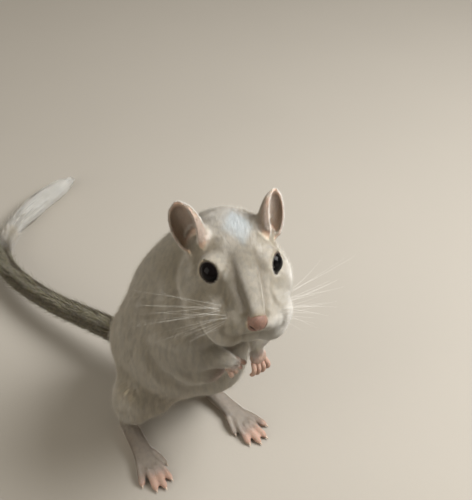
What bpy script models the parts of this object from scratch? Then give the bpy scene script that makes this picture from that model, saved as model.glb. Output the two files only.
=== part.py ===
"""A Mongolian gerbil, life size, standing half upright on its hind feet with its forepaws at its chest.

Trunk, haunches, neck and head are modelled as one body from rounded forms, fused and smoothed, and
then parted with thin cuts. Ears, eyes, limbs and tail are set on it. Metres, +Z up. The body faces
-Y, so +X is its left side, and it stands on Z = 0.
"""

import math
import random

import bmesh
import bpy
from mathutils import Matrix, Vector
from mathutils.bvhtree import BVHTree

# Driving dimensions
MM = 0.001
GAP = 0.3 * MM
FLESH_VOXEL = 0.6 * MM
EYE_RADIUS = 3.25
EYE_SPACING = 15.8
LID_DEPTH = 0.45
LID_OPENING = (2.95, 3.1)
EAR_LENGTH = 11.4
EAR_WIDTH = 9.6
EAR_WALL = 0.8
FOOT_LENGTH = 21
TOE_RADIUS = 1.15
FINGER_LENGTH = 4.2
FINGER_RADIUS = 0.6
CLAW_LENGTH = 1.7
TUFT_LOCKS = 12
TUFT_LOCK_LENGTH = 15
SLAB_SIZE = 0.4
HEAD_SHARE = 0.062
BODY_SHARE = 0.032

# Places, in millimetres: to the left, behind the hind feet and above the floor
HEAD = Vector((7.9, -18.5, 87.7))
HEAD_YAW, HEAD_PITCH, HEAD_ROLL = -23, 4, 4
HAUNCH = {"right": Vector((-6.3, 13.3, 19.8)), "left": Vector((16.2, 11.5, 19.8))}
HAUNCH_RADII = (8.8, 11.6, 12)
SHOULDER = {"right": Vector((1.5, -2, 63)), "left": Vector((21, -8.5, 65))}
SHOULDER_RADII = (9.6, 10.5, 12)
LOWER_BACK = Vector((4.6, 16.4, 33))
LOWER_BACK_RADII = (16.6, 17.8, 21)
CHEST = Vector((10.5, -5, 50))
CHEST_RADII = (11.5, 10.5, 14)
BELLY = Vector((8.8, 0, 36))
BELLY_RADII = (13.5, 13.5, 14)
ELBOW = {"right": Vector((-3, -12, 55)), "left": Vector((22.5, -16, 57))}
WRIST = {"right": Vector((2.5, -20, 54)), "left": Vector((11, -22, 56))}
FINGERTIPS = {"right": Vector((7, -19.6, 46)), "left": Vector((10.6, -25, 46))}
HEEL = {"right": Vector((-13.8, 15.9, 0)), "left": Vector((16.5, 11.3, 0))}
TOES = {"right": Vector((-19.4, -12.4, 0)), "left": Vector((18.8, -19.6, 0))}

# On the head, from the middle of the eyes: to the left, back and up
EAR_BASE = {"right": Vector((-11.5, 9.8, 2.4)), "left": Vector((10.7, 9.8, 2.6))}
EAR_WAY = {"right": Vector((-0.42, 0.3, 0.86)), "left": Vector((0.24, 0.3, 0.92))}
EAR_FACING = Vector((0.6, -0.78, -0.1))
EYE_FACING = Vector((0.86, -0.4, 0.3))
NOSE = Vector((0, -17.4, -3.6))
NOSTRIL = Vector((1.3, -18.9, -4.2))
MOUTH = (Vector((0, -16.6, -8.6)), Vector((1.7, -15.2, -9.4)), Vector((3.3, -12.9, -10.2)), Vector((4.6, -10.4, -10.6)))

# Toes from the inner to the outer: across and ahead at the root, spread in degrees, length
TOE_TABLE = (
    (3.2, 15.5, 22, 5.2),
    (2.6, 19.3, 14, 7.4),
    (0.9, 20.3, 4, 8.4),
    (-1.1, 20.1, -3, 8.1),
    (-3.1, 18.4, -16, 6.5),
)
# Hind foot from behind the heel to the ball: ahead, half width, half height, height of its middle
FOOT = (
    (-2, 1.2, 1.5, 2.6),
    (-0.5, 2.2, 2.5, 2.4),
    (3, 2.7, 2.6, 2.4),
    (9, 2.8, 2.3, 2.1),
    (14, 3.3, 2.0, 1.8),
    (18, 3.8, 1.7, 1.5),
    (FOOT_LENGTH, 3.4, 1.2, 1.3),
)

# Cuts: the nape's in the head's own axes, the neck's base in the body's
NAPE_CUT = Vector((0, 13, 0))
NAPE_CUT_WAY = Vector((0, 0.85, -0.5))
NECK_BASE = Vector((12, 0, 70))
NECK_BASE_WAY = Vector((0.1, -0.25, 1))
HAUNCH_CUT_RADII = (12, 17, 18)

# Trunk from rump to nape: middle, half width, half depth
TRUNK = (
    (4, 40, 13.5, 4.2, 4.2),
    (4, 34, 18.5, 10, 10.5),
    (4, 26, 23.5, 14.8, 16),
    (4, 17.6, 29, 17.3, 18.5),
    (5, 11.6, 36, 19.2, 20.3),
    (6.7, 8.6, 45, 19.2, 20.4),
    (8.3, 7.8, 54, 17.9, 19.6),
    (10.5, 5.2, 63, 15.8, 17.4),
    (12.3, 1.8, 71, 13.8, 15.3),
    (13, -2.6, 79, 12.2, 13),
    (12.5, -6, 84, 11.3, 11.8),
)

# Head from its back to the nose tip, from the middle of the eyes: back, half width, top, bottom
SKULL = (
    (21, 9, 3, -12.5),
    (16, 12, 5.6, -14),
    (10, 12.8, 7.2, -14),
    (5, 11.6, 7, -13.4),
    (0, 9.5, 6, -12.3),
    (-5, 7.5, 4.9, -11.2),
    (-9, 6, 3.7, -10.6),
    (-13, 4.8, 2.3, -9.6),
    (-15.6, 4, 1.2, -8.6),
    (-17.4, 3.1, -0.4, -7.2),
    (-18.6, 2, -1.8, -5.6),
)

# Tail from the rump to its tip: left, back, height of its middle, radius
TAIL = (
    (4, 37, 14, 4.2),
    (1.5, 43, 14, 3.5),
    (-3.3, 58, 12.5, 3.2),
    (-7.7, 73, 10.5, 3.0),
    (-10.7, 90, 8.5, 2.8),
    (-10.9, 106, 6.8, 2.6),
    (-6.1, 118.5, 5.4, 2.4),
    (6, 129, 4.4, 2.1),
    (20.3, 136.4, 3.4, 1.7),
    (33, 140.8, 2.6, 1.0),
)
TAIL_CUTS = (0.3, 0.56, 0.74)

SIDES = {"right": -1, "left": 1}

# Finishes: colour and roughness
CREAM_FUR = ((0.62, 0.58, 0.48, 1), 0.9)
TAIL_FUR = ((0.16, 0.14, 0.11, 1), 0.9)
WHITE_FUR = ((0.72, 0.68, 0.58, 1), 0.9)
EAR_SKIN = ((0.42, 0.31, 0.26, 1), 0.7)
PAW_SKIN = ((0.6, 0.46, 0.4, 1), 0.6)
EYE_GLOSS = ((0.008, 0.007, 0.007, 1), 0.08)
FINISHES = {
    "head": CREAM_FUR,
    "neck": CREAM_FUR,
    "torso": CREAM_FUR,
    "haunch": CREAM_FUR,
    "foreleg": CREAM_FUR,
    "ear": EAR_SKIN,
    "eye": EYE_GLOSS,
    "forepaw": PAW_SKIN,
    "hindfoot": PAW_SKIN,
    "tail": TAIL_FUR,
    "tail_tip": WHITE_FUR,
}


def clear_scene():
    for old in list(bpy.data.objects):
        bpy.data.objects.remove(old, do_unlink=True)


def new_collection(name, hidden=False):
    made = bpy.data.collections.new(name)
    bpy.context.scene.collection.children.link(made)
    made.hide_render = hidden
    return made


def object_of(name, bm, collection):
    bmesh.ops.recalc_face_normals(bm, faces=bm.faces)
    mesh = bpy.data.meshes.new(name)
    bm.to_mesh(mesh)
    bm.free()
    made = bpy.data.objects.new(name, mesh)
    collection.objects.link(made)
    return made


def copy_of(source, name, collection):
    made = bpy.data.objects.new(name, source.data.copy())
    collection.objects.link(made)
    return made


def remove(obj):
    mesh = obj.data
    bpy.data.objects.remove(obj, do_unlink=True)
    bpy.data.meshes.remove(mesh)


def bake(obj):
    """The object's mesh becomes what its modifiers make of it."""
    graph = bpy.context.evaluated_depsgraph_get()
    made = bpy.data.meshes.new_from_object(obj.evaluated_get(graph))
    obj.modifiers.clear()
    old = obj.data
    obj.data = made
    bpy.data.meshes.remove(old)


def boolean(target, operation, other, solver="MANIFOLD"):
    """The exact solver loses pieces of the fused and swollen forms, so only unions of plain pieces use it."""
    step = target.modifiers.new("Boolean", "BOOLEAN")
    step.operation = operation
    step.solver = solver
    if isinstance(other, bpy.types.Collection):
        step.operand_type = "COLLECTION"
        step.collection = other
    else:
        step.object = other
    bake(target)


def grown(source, distance, collection):
    """A copy swollen evenly, for cutting a neighbour clear of it."""
    made = copy_of(source, "Grown " + source.name, collection)
    swell = made.modifiers.new("Swell", "DISPLACE")
    swell.strength = distance
    swell.mid_level = 0
    bake(made)
    return made


def largest_shell(obj):
    """Drops every closed surface but the largest."""
    bm = bmesh.new()
    bm.from_mesh(obj.data)
    bmesh.ops.dissolve_degenerate(bm, edges=bm.edges, dist=0.01 * MM)
    bmesh.ops.triangulate(bm, faces=bm.faces)
    left = set(bm.verts)
    shells = []
    while left:
        shell = {left.pop()}
        edge = list(shell)
        while edge:
            near = {other.other_vert(vert) for vert in edge for other in vert.link_edges}
            edge = list(near & left)
            left -= near
            shell |= set(edge)
        shells.append(shell)
    shells.sort(key=len)
    for shell in shells[:-1]:
        bmesh.ops.delete(bm, geom=list(shell), context="VERTS")
    bm.to_mesh(obj.data)
    bm.free()


def between(rows, steps):
    """The rows with further ones between them, on a Catmull-Rom curve."""
    found = []
    last = len(rows) - 1
    for index in range(last):
        a, b, c, d = (rows[min(max(index + k, 0), last)] for k in (-1, 0, 1, 2))
        for step in range(steps):
            t = step / steps
            found.append(
                tuple(
                    q + 0.5 * t * (r - p + t * (2 * p - 5 * q + 4 * r - s + t * (3 * (q - r) + s - p)))
                    for p, q, r, s in zip(a, b, c, d)
                )
            )
    found.append(tuple(rows[last]))
    return found


def ring_matrix(centre, along, left):
    """A ring's own axes: X to the left, Z along the form."""
    z = along.normalized()
    x = (left - left.dot(z) * z).normalized()
    turn = Matrix((x, z.cross(x), z)).transposed().to_4x4()
    return Matrix.Translation(centre) @ turn


def loft(bm, centres, sizes, left=Vector((1, 0, 0)), sides=16, place=Matrix()):
    """A closed form through elliptical rings, given in millimetres."""
    scale = Matrix.Scale(MM, 4) @ place
    rings = []
    for index, (centre, (wide, deep)) in enumerate(zip(centres, sizes)):
        ahead = centres[min(index + 1, len(centres) - 1)]
        behind = centres[max(index - 1, 0)]
        matrix = ring_matrix(centre, ahead - behind, left)
        oval = scale @ matrix @ Matrix.Diagonal((wide, deep, 1, 1))
        ring = bmesh.ops.create_circle(bm, segments=sides, radius=1, matrix=oval)["verts"]
        rings.append(ring)
    for lower, upper in zip(rings, rings[1:]):
        for k in range(sides):
            after = (k + 1) % sides
            bm.faces.new((lower[k], lower[after], upper[after], upper[k]))
    bm.faces.new(rings[0][::-1])
    bm.faces.new(rings[-1])


def blob(bm, centre, radii, place=Matrix(), segments=24):
    """An ellipsoid, given in millimetres."""
    oval = Matrix.Scale(MM, 4) @ place @ Matrix.Translation(centre) @ Matrix.Diagonal((*radii, 1))
    bmesh.ops.create_uvsphere(
        bm, u_segments=segments, v_segments=segments // 2, radius=1, matrix=oval
    )


def head_matrix():
    turn = (
        Matrix.Rotation(math.radians(HEAD_YAW), 4, "Z")
        @ Matrix.Rotation(math.radians(HEAD_PITCH), 4, "X")
        @ Matrix.Rotation(math.radians(HEAD_ROLL), 4, "Y")
    )
    return Matrix.Translation(HEAD) @ turn


def flesh_forms(collection):
    """Trunk, haunches, neck and head, fused and smoothed."""
    bm = bmesh.new()
    trunk = between(TRUNK, 4)
    loft(bm, [Vector(row[:3]) for row in trunk], [row[3:] for row in trunk], sides=24)
    blob(bm, LOWER_BACK, LOWER_BACK_RADII)
    blob(bm, CHEST, CHEST_RADII)
    blob(bm, BELLY, BELLY_RADII)
    for side in SIDES:
        blob(bm, HAUNCH[side], HAUNCH_RADII)
        blob(bm, SHOULDER[side], SHOULDER_RADII)
    head = head_matrix()
    skull = between(SKULL, 4)
    loft(
        bm,
        [Vector((0, row[0], (row[2] + row[3]) / 2)) for row in skull],
        [(row[1], (row[2] - row[3]) / 2) for row in skull],
        sides=24,
        place=head,
    )
    for sign in SIDES.values():
        blob(bm, Vector((sign * 9.4, 3.6, -9.2)), (7, 10.5, 8.2), head)
        blob(bm, Vector((sign * 6.6, -5, -9.4)), (6.2, 8.6, 6), head)
        blob(bm, Vector((sign * 3.4, -12.2, -6.4)), (4.1, 5.4, 3.9), head)
        blob(bm, Vector((sign * EYE_SPACING / 2, 0, 0)), (EYE_RADIUS + LID_DEPTH,) * 3, head)
    blob(bm, Vector((0, -9.5, -10.6)), (4, 5.6, 2.8), head)
    flesh = object_of("Flesh", bm, collection)
    fuse = flesh.modifiers.new("Fuse", "REMESH")
    fuse.mode = "VOXEL"
    fuse.voxel_size = FLESH_VOXEL
    soften = flesh.modifiers.new("Soften", "SMOOTH")
    soften.factor = 0.5
    soften.iterations = 16
    bake(flesh)
    largest_shell(flesh)
    return flesh


def thinned(source, name, share, collection):
    made = copy_of(source, name, collection)
    thin = made.modifiers.new("Thin", "DECIMATE")
    thin.ratio = share
    bake(made)
    return made


def slab(name, point, outward, collection):
    """A large block whose near face passes through the point, square to the outward direction."""
    turn = outward.to_track_quat("Z", "Y").to_matrix().to_4x4()
    bm = bmesh.new()
    bmesh.ops.create_cube(
        bm,
        size=1,
        matrix=Matrix.Translation(point)
        @ turn
        @ Matrix.Translation((0, 0, SLAB_SIZE / 2))
        @ Matrix.Scale(SLAB_SIZE, 4),
    )
    return object_of(name, bm, collection)


def keep_side(obj, point, outward, helpers):
    """Cuts away what lies beyond a plane, given in metres."""
    beyond = slab("Beyond", point, outward, helpers)
    boolean(obj, "DIFFERENCE", beyond)
    remove(beyond)


def part_between(obj, point, outward, helpers):
    """Keeps the side behind a plane, half a gap short of it."""
    keep_side(obj, point - outward * GAP / 2, outward, helpers)


def haunch_region(side, extra, helpers):
    bm = bmesh.new()
    radii = [radius + extra for radius in HAUNCH_CUT_RADII]
    blob(bm, HAUNCH[side] + Vector((SIDES[side] * 3.5, 2, 1)), radii, segments=20)
    return object_of("Haunch region", bm, helpers)


def flesh_nodes(flesh, gerbil, helpers):
    """Parts the fused flesh into head, neck, torso and haunches."""
    head = head_matrix()
    turn = head.to_3x3()
    nape = (head @ NAPE_CUT) * MM
    nape_way = turn @ NAPE_CUT_WAY.normalized()
    base = NECK_BASE * MM
    base_way = NECK_BASE_WAY.normalized()

    made = thinned(flesh, "head", HEAD_SHARE, gerbil)
    part_between(made, nape, nape_way, helpers)
    body = thinned(flesh, "neck", BODY_SHARE, gerbil)
    torso = copy_of(body, "torso", gerbil)
    part_between(body, nape, -nape_way, helpers)
    part_between(body, base, -base_way, helpers)
    part_between(torso, base, base_way, helpers)
    for side in SIDES:
        haunch = copy_of(torso, "haunch_" + side, gerbil)
        region = haunch_region(side, 0, helpers)
        boolean(haunch, "INTERSECT", region)
        remove(region)
        largest_shell(haunch)
    for side in SIDES:
        region = haunch_region(side, GAP / MM, helpers)
        boolean(torso, "DIFFERENCE", region)
        remove(region)
    for name in ("head", "neck", "torso"):
        largest_shell(bpy.data.objects[name])


def local_sides(vector, side):
    """The vector mirrored to the animal's right where that is the side."""
    return Vector((vector.x * SIDES[side], vector.y, vector.z))


def eye_place(side):
    return head_matrix() @ Vector((SIDES[side] * EYE_SPACING / 2, 0, 0))


def surface_of(obj):
    mesh = obj.data
    return BVHTree.FromPolygons([v.co for v in mesh.vertices], [p.vertices for p in mesh.polygons])


def tube(bm, points, radii, sides=8, left=Vector((1, 0, 0)), flat=1, place=Matrix()):
    """A round form along the points, or one whose depth is a share of its width."""
    loft(bm, points, [(radius, radius * flat) for radius in radii], left, sides, place)


def pieces_object(name, builders, collection, helpers):
    """One closed body from pieces that overlap. Each builder fills a mesh with one closed piece."""
    base = None
    pieces = bpy.data.collections.new(name + " pieces")
    helpers.children.link(pieces)
    for index, builder in enumerate(builders):
        bm = bmesh.new()
        builder(bm)
        home = collection if index == 0 else pieces
        made = object_of(name if index == 0 else f"{name} piece {index}", bm, home)
        base = base or made
    if pieces.objects:
        boolean(base, "UNION", pieces, solver="EXACT")
    for made in list(pieces.objects):
        remove(made)
    bpy.data.collections.remove(pieces)
    return base


def eyes(gerbil):
    for side in SIDES:
        bm = bmesh.new()
        blob(bm, eye_place(side), (EYE_RADIUS,) * 3, segments=20)
        object_of("eye_" + side, bm, gerbil)


def lid_matrix(side):
    facing = head_matrix().to_3x3() @ local_sides(EYE_FACING, side)
    up = head_matrix().to_3x3() @ Vector((0, 0, 1))
    return ring_matrix(eye_place(side), facing, facing.cross(up))


def face_features(head, helpers):
    """Lids, nose pad, nostrils, lips and mouth on the head."""
    place = head_matrix()
    skin = surface_of(head)

    def on_skin(point, lift=0.0):
        near, normal, _, _ = skin.find_nearest((place @ point) * MM)
        return near / MM + normal * lift

    line = [local_sides(point, "right") for point in MOUTH[:0:-1]] + list(MOUTH)
    line = [Vector(row) for row in between([tuple(point) for point in line], 2)]
    width = len(line) - 1
    taper = [1 - 0.65 * abs(2 * k / width - 1) ** 2 for k in range(width + 1)]
    builders = [
        lambda bm: blob(bm, NOSE, (2.5, 1.9, 2), place, 12),
        lambda bm: tube(
            bm,
            [on_skin(point + Vector((0, 0, 0.75)), -0.15) for point in line],
            [0.75 * t for t in taper],
            sides=6,
            left=place.to_3x3() @ Vector((0, 0, 1)),
        ),
        lambda bm: tube(
            bm,
            [on_skin(point + Vector((0, 0.5, -0.75)), -0.15) for point in line[2:-2]],
            [0.7 * t for t in taper[2:-2]],
            sides=6,
            left=place.to_3x3() @ Vector((0, 0, 1)),
        ),
    ]
    for side in SIDES:
        builders.append(
            lambda bm, side=side: blob(bm, eye_place(side), (EYE_RADIUS + LID_DEPTH,) * 3, segments=20)
        )
    for builder in builders:
        bm = bmesh.new()
        builder(bm)
        added = object_of("Added", bm, helpers)
        boolean(head, "UNION", added)
        remove(added)

    cutters = [
        lambda bm: tube(
            bm,
            [on_skin(point, 0.1) for point in line],
            [0.34 * t for t in taper],
            sides=4,
            left=place.to_3x3() @ Vector((0, 0, 1)),
        )
    ]
    for side in SIDES:
        nostril = local_sides(NOSTRIL, side)
        cutters.append(lambda bm, at=nostril: blob(bm, at, (0.42, 0.8, 0.45), place, 8))
        cutters.append(
            lambda bm, side=side: blob(bm, eye_place(side), (EYE_RADIUS + GAP / MM,) * 3, segments=20)
        )
        cutters.append(
            lambda bm, side=side: bmesh.ops.create_cone(
                bm,
                cap_ends=True,
                segments=20,
                radius1=1,
                radius2=1.15,
                depth=1,
                matrix=Matrix.Scale(MM, 4)
                @ lid_matrix(side)
                @ Matrix.Diagonal((*LID_OPENING, 4, 1))
                @ Matrix.Translation((0, 0, 0.9)),
            )
        )
    for cutter in cutters:
        bm = bmesh.new()
        cutter(bm)
        cut = object_of("Cut", bm, helpers)
        boolean(head, "DIFFERENCE", cut)
        remove(cut)
    largest_shell(head)


def clear_of(obj, names, helpers):
    """Cuts the object clear of the named nodes by the gap."""
    for name in names:
        near = grown(bpy.data.objects[name], GAP, helpers)
        boolean(obj, "DIFFERENCE", near)
        remove(near)
    largest_shell(obj)


def ear(side, gerbil, helpers):
    """A cup: each level is an arc that closes to a funnel at its base and opens towards its tip."""
    across, along = 10, 7
    bm = bmesh.new()
    bmesh.ops.create_grid(bm, x_segments=across, y_segments=along, size=1)
    way = EAR_WAY[side].normalized()
    facing = local_sides(EAR_FACING, side)
    back = -(facing - facing.dot(way) * way).normalized()
    turn = Matrix((back.cross(way), back, way)).transposed().to_4x4()
    place = head_matrix() @ Matrix.Translation(EAR_BASE[side]) @ turn
    for vert in bm.verts:
        t, s = vert.co.x, (vert.co.y + 1) / 2
        half_width = EAR_WIDTH / 2 * math.sqrt(1 - ((s - 0.46) / 0.545) ** 2)
        depth = half_width * (0.8 - 0.3 * s)
        arc = math.radians(145 - 55 * s) * t
        lean = 1.6 * s * s
        point = Vector(
            (half_width * math.sin(arc), depth * math.cos(arc) + lean, (s * 1.28 - 0.28) * EAR_LENGTH)
        )
        vert.co = (place @ point) * MM
    made = object_of("ear_" + side, bm, gerbil)
    wall = made.modifiers.new("Wall", "SOLIDIFY")
    wall.thickness = EAR_WALL * MM
    wall.offset = 0
    bake(made)
    clear_of(made, ["head"], helpers)


def claw(bm, root, way, radius, place, length=CLAW_LENGTH):
    """A curved point."""
    down = Vector((0, 0, -1))
    points = [root, root + way * length * 0.55 + down * 0.08, root + way * length + down * 0.3]
    tube(bm, points, [radius, radius * 0.7, radius * 0.12], sides=5, place=place)


def hind_foot(side, gerbil, helpers):
    heel, toes = HEEL[side], TOES[side]
    ahead = toes - heel
    place = Matrix.Translation(heel) @ Matrix.Rotation(math.atan2(ahead.x, -ahead.y), 4, "Z")
    inner = -SIDES[side]

    def sole(bm):
        rows = between(FOOT, 2)
        loft(
            bm,
            [Vector((0, -row[0], row[3])) for row in rows],
            [(row[1], row[2]) for row in rows],
            sides=12,
            place=place,
        )

    def shank(bm):
        points = [Vector((0, 0.6, 2.4)), Vector((0, -0.6, 6)), Vector((0, -3, 11)), Vector((0, -6, 17))]
        tube(bm, points, [2.1, 2.6, 3.4, 4.2], sides=10, place=place)

    def toe_way(spread):
        turn = math.radians(spread)
        return Vector((inner * math.sin(turn), -math.cos(turn), 0))

    def toe(bm, across, start, spread, length):
        way = toe_way(spread)
        root = Vector((inner * across, -start, 0))
        heights = (1.5, 1.75, 1.5, 1.0, 0.85)
        radii = (1.15, 1.0, 0.92, 0.95, 0.55)
        steps = (-0.25, 0.25, 0.6, 0.85, 1)
        points = [root + way * length * step + Vector((0, 0, h)) for step, h in zip(steps, heights)]
        tube(bm, points, [r * TOE_RADIUS for r in radii], sides=7, place=place)

    def toe_claw(bm, across, start, spread, length):
        way = toe_way(spread)
        tip = Vector((inner * across, -start, 0.85)) + way * (length - 0.5)
        claw(bm, tip, way, 0.45, place)

    builders = [sole, shank]
    for row in TOE_TABLE:
        builders.append(lambda bm, row=row: toe(bm, *row))
        builders.append(lambda bm, row=row: toe_claw(bm, *row))
    made = pieces_object("hindfoot_" + side, builders, gerbil, helpers)
    keep_side(made, Vector((0, 0, 0)), Vector((0, 0, -1)), helpers)
    clear_of(made, ["haunch_" + side, "torso"], helpers)


def foreleg(side, gerbil, helpers):
    bm = bmesh.new()
    shoulder, elbow, wrist = SHOULDER[side], ELBOW[side], WRIST[side]
    paw_way = (FINGERTIPS[side] - wrist).normalized()
    bend = elbow + (elbow - (shoulder + wrist) / 2) * 0.15
    rows = [
        (*shoulder, 6.5),
        (*((shoulder + bend) / 2), 6.2),
        (*bend, 5),
        (*((bend + wrist) / 2 - paw_way), 3.5),
        (*(wrist - paw_way * 1.6), 2.6),
        (*(wrist + paw_way * 0.2), 2.2),
    ]
    rows = between(rows, 3)
    tube(bm, [Vector(row[:3]) for row in rows], [row[3] for row in rows], sides=12, left=Vector((0, -1, 0.4)))
    made = object_of("foreleg_" + side, bm, gerbil)
    clear_of(made, ["torso", "neck", "head"], helpers)


def forepaw(side, gerbil, helpers):
    wrist, tips = WRIST[side], FINGERTIPS[side]
    place = ring_matrix(wrist, tips - wrist, Vector((1, 0, 0)))
    fingers_start = (tips - wrist).length - FINGER_LENGTH - CLAW_LENGTH * 0.6

    def palm(bm):
        rows = ((0.45, 2.1, 1.8), (2, 2.25, 1.7), (fingers_start - 0.6, 2.5, 1.4), (fingers_start + 0.4, 2.0, 1.0))
        loft(
            bm,
            [Vector((0, 0, row[0])) for row in rows],
            [row[1:] for row in rows],
            sides=10,
            place=place,
        )

    def spread_of(index):
        return (index - 1.5) / 1.5

    def finger(bm, index):
        share = spread_of(index)
        way = Vector((math.sin(share * 0.3), -0.25, math.cos(share * 0.3))).normalized()
        root = Vector((share * 1.6, 0, fingers_start - 0.4))
        points = [
            root,
            root + way * FINGER_LENGTH * 0.5 + Vector((0, 0.35, 0)),
            root + way * FINGER_LENGTH,
        ]
        tube(bm, points, [FINGER_RADIUS * 1.1, FINGER_RADIUS, FINGER_RADIUS * 0.8], sides=6, place=place)

    def finger_claw(bm, index):
        share = spread_of(index)
        way = Vector((math.sin(share * 0.3), -0.45, math.cos(share * 0.3))).normalized()
        root = Vector((share * (1.6 + FINGER_LENGTH * 0.27), -1.0, fingers_start + FINGER_LENGTH - 0.8))
        points = [root, root + way * 0.8, root + way * 1.6]
        tube(bm, points, [0.42, 0.3, 0.06], sides=5, place=place)

    builders = [palm]
    for index in range(4):
        builders.append(lambda bm, index=index: finger(bm, index))
        builders.append(lambda bm, index=index: finger_claw(bm, index))
    made = pieces_object("forepaw_" + side, builders, gerbil, helpers)
    clear_of(made, ["foreleg_" + side], helpers)


def tail(gerbil, helpers):
    """Lengths cut square across, the last with the tuft's locks."""
    rows = between(TAIL, 4)
    last = len(rows) - 1
    marks = [0] + [round(cut * last) for cut in TAIL_CUTS] + [last]
    names = ("tail_base", "tail_middle", "tail_bend", "tail_tip")
    for name, start, stop in zip(names, marks, marks[1:]):
        points = [Vector(row[:3]) for row in rows[start : stop + 1]]
        radii = [row[3] for row in rows[start : stop + 1]]
        if start > 0:
            points[0] = points[0] + (points[1] - points[0]).normalized() * GAP / MM / 2
        if stop < last:
            points[-1] = points[-1] - (points[-1] - points[-2]).normalized() * GAP / MM / 2
        builders = [lambda bm: tube(bm, points, radii, sides=12)]
        if name == "tail_tip":
            builders += tuft(points, radii)
        made = pieces_object(name, builders, gerbil, helpers)
        keep_side(made, Vector((0, 0, 0)), Vector((0, 0, -1)), helpers)
        largest_shell(made)
    clear_of(bpy.data.objects["tail_base"], ["torso"], helpers)


def tuft(points, radii):
    """Flat locks rooted in the tail's core. They bend along it and fan out past its end."""
    draw = random.Random(7)
    count = len(points) - 1
    found = []
    for index in range(TUFT_LOCKS):
        share = 0.02 + 0.86 * index / (TUFT_LOCKS - 1)
        turn = index * 2.4 + draw.uniform(-0.3, 0.3)
        start = share * count
        length = TUFT_LOCK_LENGTH * draw.uniform(0.85, 1.1)
        found.append(
            lambda bm, start=start, turn=turn, length=length: tuft_lock(bm, points, radii, start, turn, length)
        )
    return found


def along_path(points, radii, place):
    """The point, way and radius at a place counted in points, straight on past the end."""
    count = len(points) - 1
    low = min(int(place), count - 1)
    way = points[low + 1] - points[low]
    radius = radii[low] + (radii[low + 1] - radii[low]) * min(place - low, 1)
    return points[low] + way * (place - low), way, radius


def tuft_lock(bm, points, radii, start, turn, length):
    centres = []
    place = start
    steps = 4
    for step in range(steps + 1):
        point, way, radius = along_path(points, radii, place)
        side = Vector((0, 0, 1)).cross(way).normalized()
        up = way.cross(side).normalized()
        out = side * math.cos(turn) + up * math.sin(turn)
        reach = radius * 0.3 + (radius * 0.6 + 1.2) * math.sin(step / steps * math.pi * 0.8)
        centre = point + out * reach
        centre.z = max(centre.z, 0.5)
        centres.append(centre)
        place += length / steps / way.length
    loft(bm, centres, [(1.1, 0.5), (1.6, 0.55), (1.5, 0.5), (1.0, 0.4), (0.12, 0.1)], out.cross(way), sides=5)


def finish(gerbil):
    """Each object's own material, from the finish of the part that it is."""
    for obj in gerbil.objects:
        colour, roughness = FINISHES.get(obj.name) or FINISHES[obj.name.split("_")[0]]
        material = bpy.data.materials.new(obj.name)
        material.use_nodes = True
        shader = material.node_tree.nodes["Principled BSDF"]
        shader.inputs["Base Color"].default_value = colour
        shader.inputs["Roughness"].default_value = roughness
        shader.inputs["Metallic"].default_value = 0
        obj.data.materials.clear()
        obj.data.materials.append(material)
        obj.data.shade_smooth()


def settle(gerbil):
    """Moves everything so that the middle of the base of the whole box is the origin."""
    bpy.context.view_layer.update()
    corners = [vert.co for obj in gerbil.objects for vert in obj.data.vertices]
    low = Vector(map(min, zip(*corners)))
    high = Vector(map(max, zip(*corners)))
    shift = Vector((-(low.x + high.x) / 2, -(low.y + high.y) / 2, -low.z))
    for obj in gerbil.objects:
        obj.data.transform(Matrix.Translation(shift))


def main():
    clear_scene()
    gerbil = new_collection("Gerbil")
    helpers = new_collection("Helpers", hidden=True)
    flesh = flesh_forms(helpers)
    flesh_nodes(flesh, gerbil, helpers)
    for side in SIDES:
        ear(side, gerbil, helpers)
        foreleg(side, gerbil, helpers)
        forepaw(side, gerbil, helpers)
        hind_foot(side, gerbil, helpers)
    tail(gerbil, helpers)
    eyes(gerbil)
    face_features(bpy.data.objects["head"], helpers)
    settle(gerbil)
    finish(gerbil)


if __name__ == "__main__":
    main()
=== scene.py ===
"""Life-size still model of a pale cream gerbil: skin, coat, eyes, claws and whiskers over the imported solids.

The animal's own millimetres count to its left, behind its hind feet and up from the floor, as the solids'
source does. ORIGIN is where they start in the frame. The head has its own axes, from the middle of its eyes.
"""

import math

import bmesh
import bpy
import numpy as np
from bpy.props import FloatProperty, FloatVectorProperty, IntProperty, PointerProperty
from mathutils import Matrix, Vector
from mathutils.bvhtree import BVHTree


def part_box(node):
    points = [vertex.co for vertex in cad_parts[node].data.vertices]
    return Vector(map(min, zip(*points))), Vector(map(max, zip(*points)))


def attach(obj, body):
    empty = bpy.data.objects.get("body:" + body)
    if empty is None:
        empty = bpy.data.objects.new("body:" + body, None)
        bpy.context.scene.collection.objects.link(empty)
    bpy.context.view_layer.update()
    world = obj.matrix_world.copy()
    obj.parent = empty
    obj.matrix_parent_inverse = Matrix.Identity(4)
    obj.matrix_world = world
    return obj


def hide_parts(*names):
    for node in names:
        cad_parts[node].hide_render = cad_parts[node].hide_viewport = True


bl_info = {
    "name": "Gerbil",
    "version": (1, 0, 0),
    "blender": (4, 5, 0),
    "location": "3D View > Sidebar > Gerbil",
    "description": "Dresses the solids of a life-size gerbil in skin, fur, eyes, claws and whiskers",
    "category": "Object",
}

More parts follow.
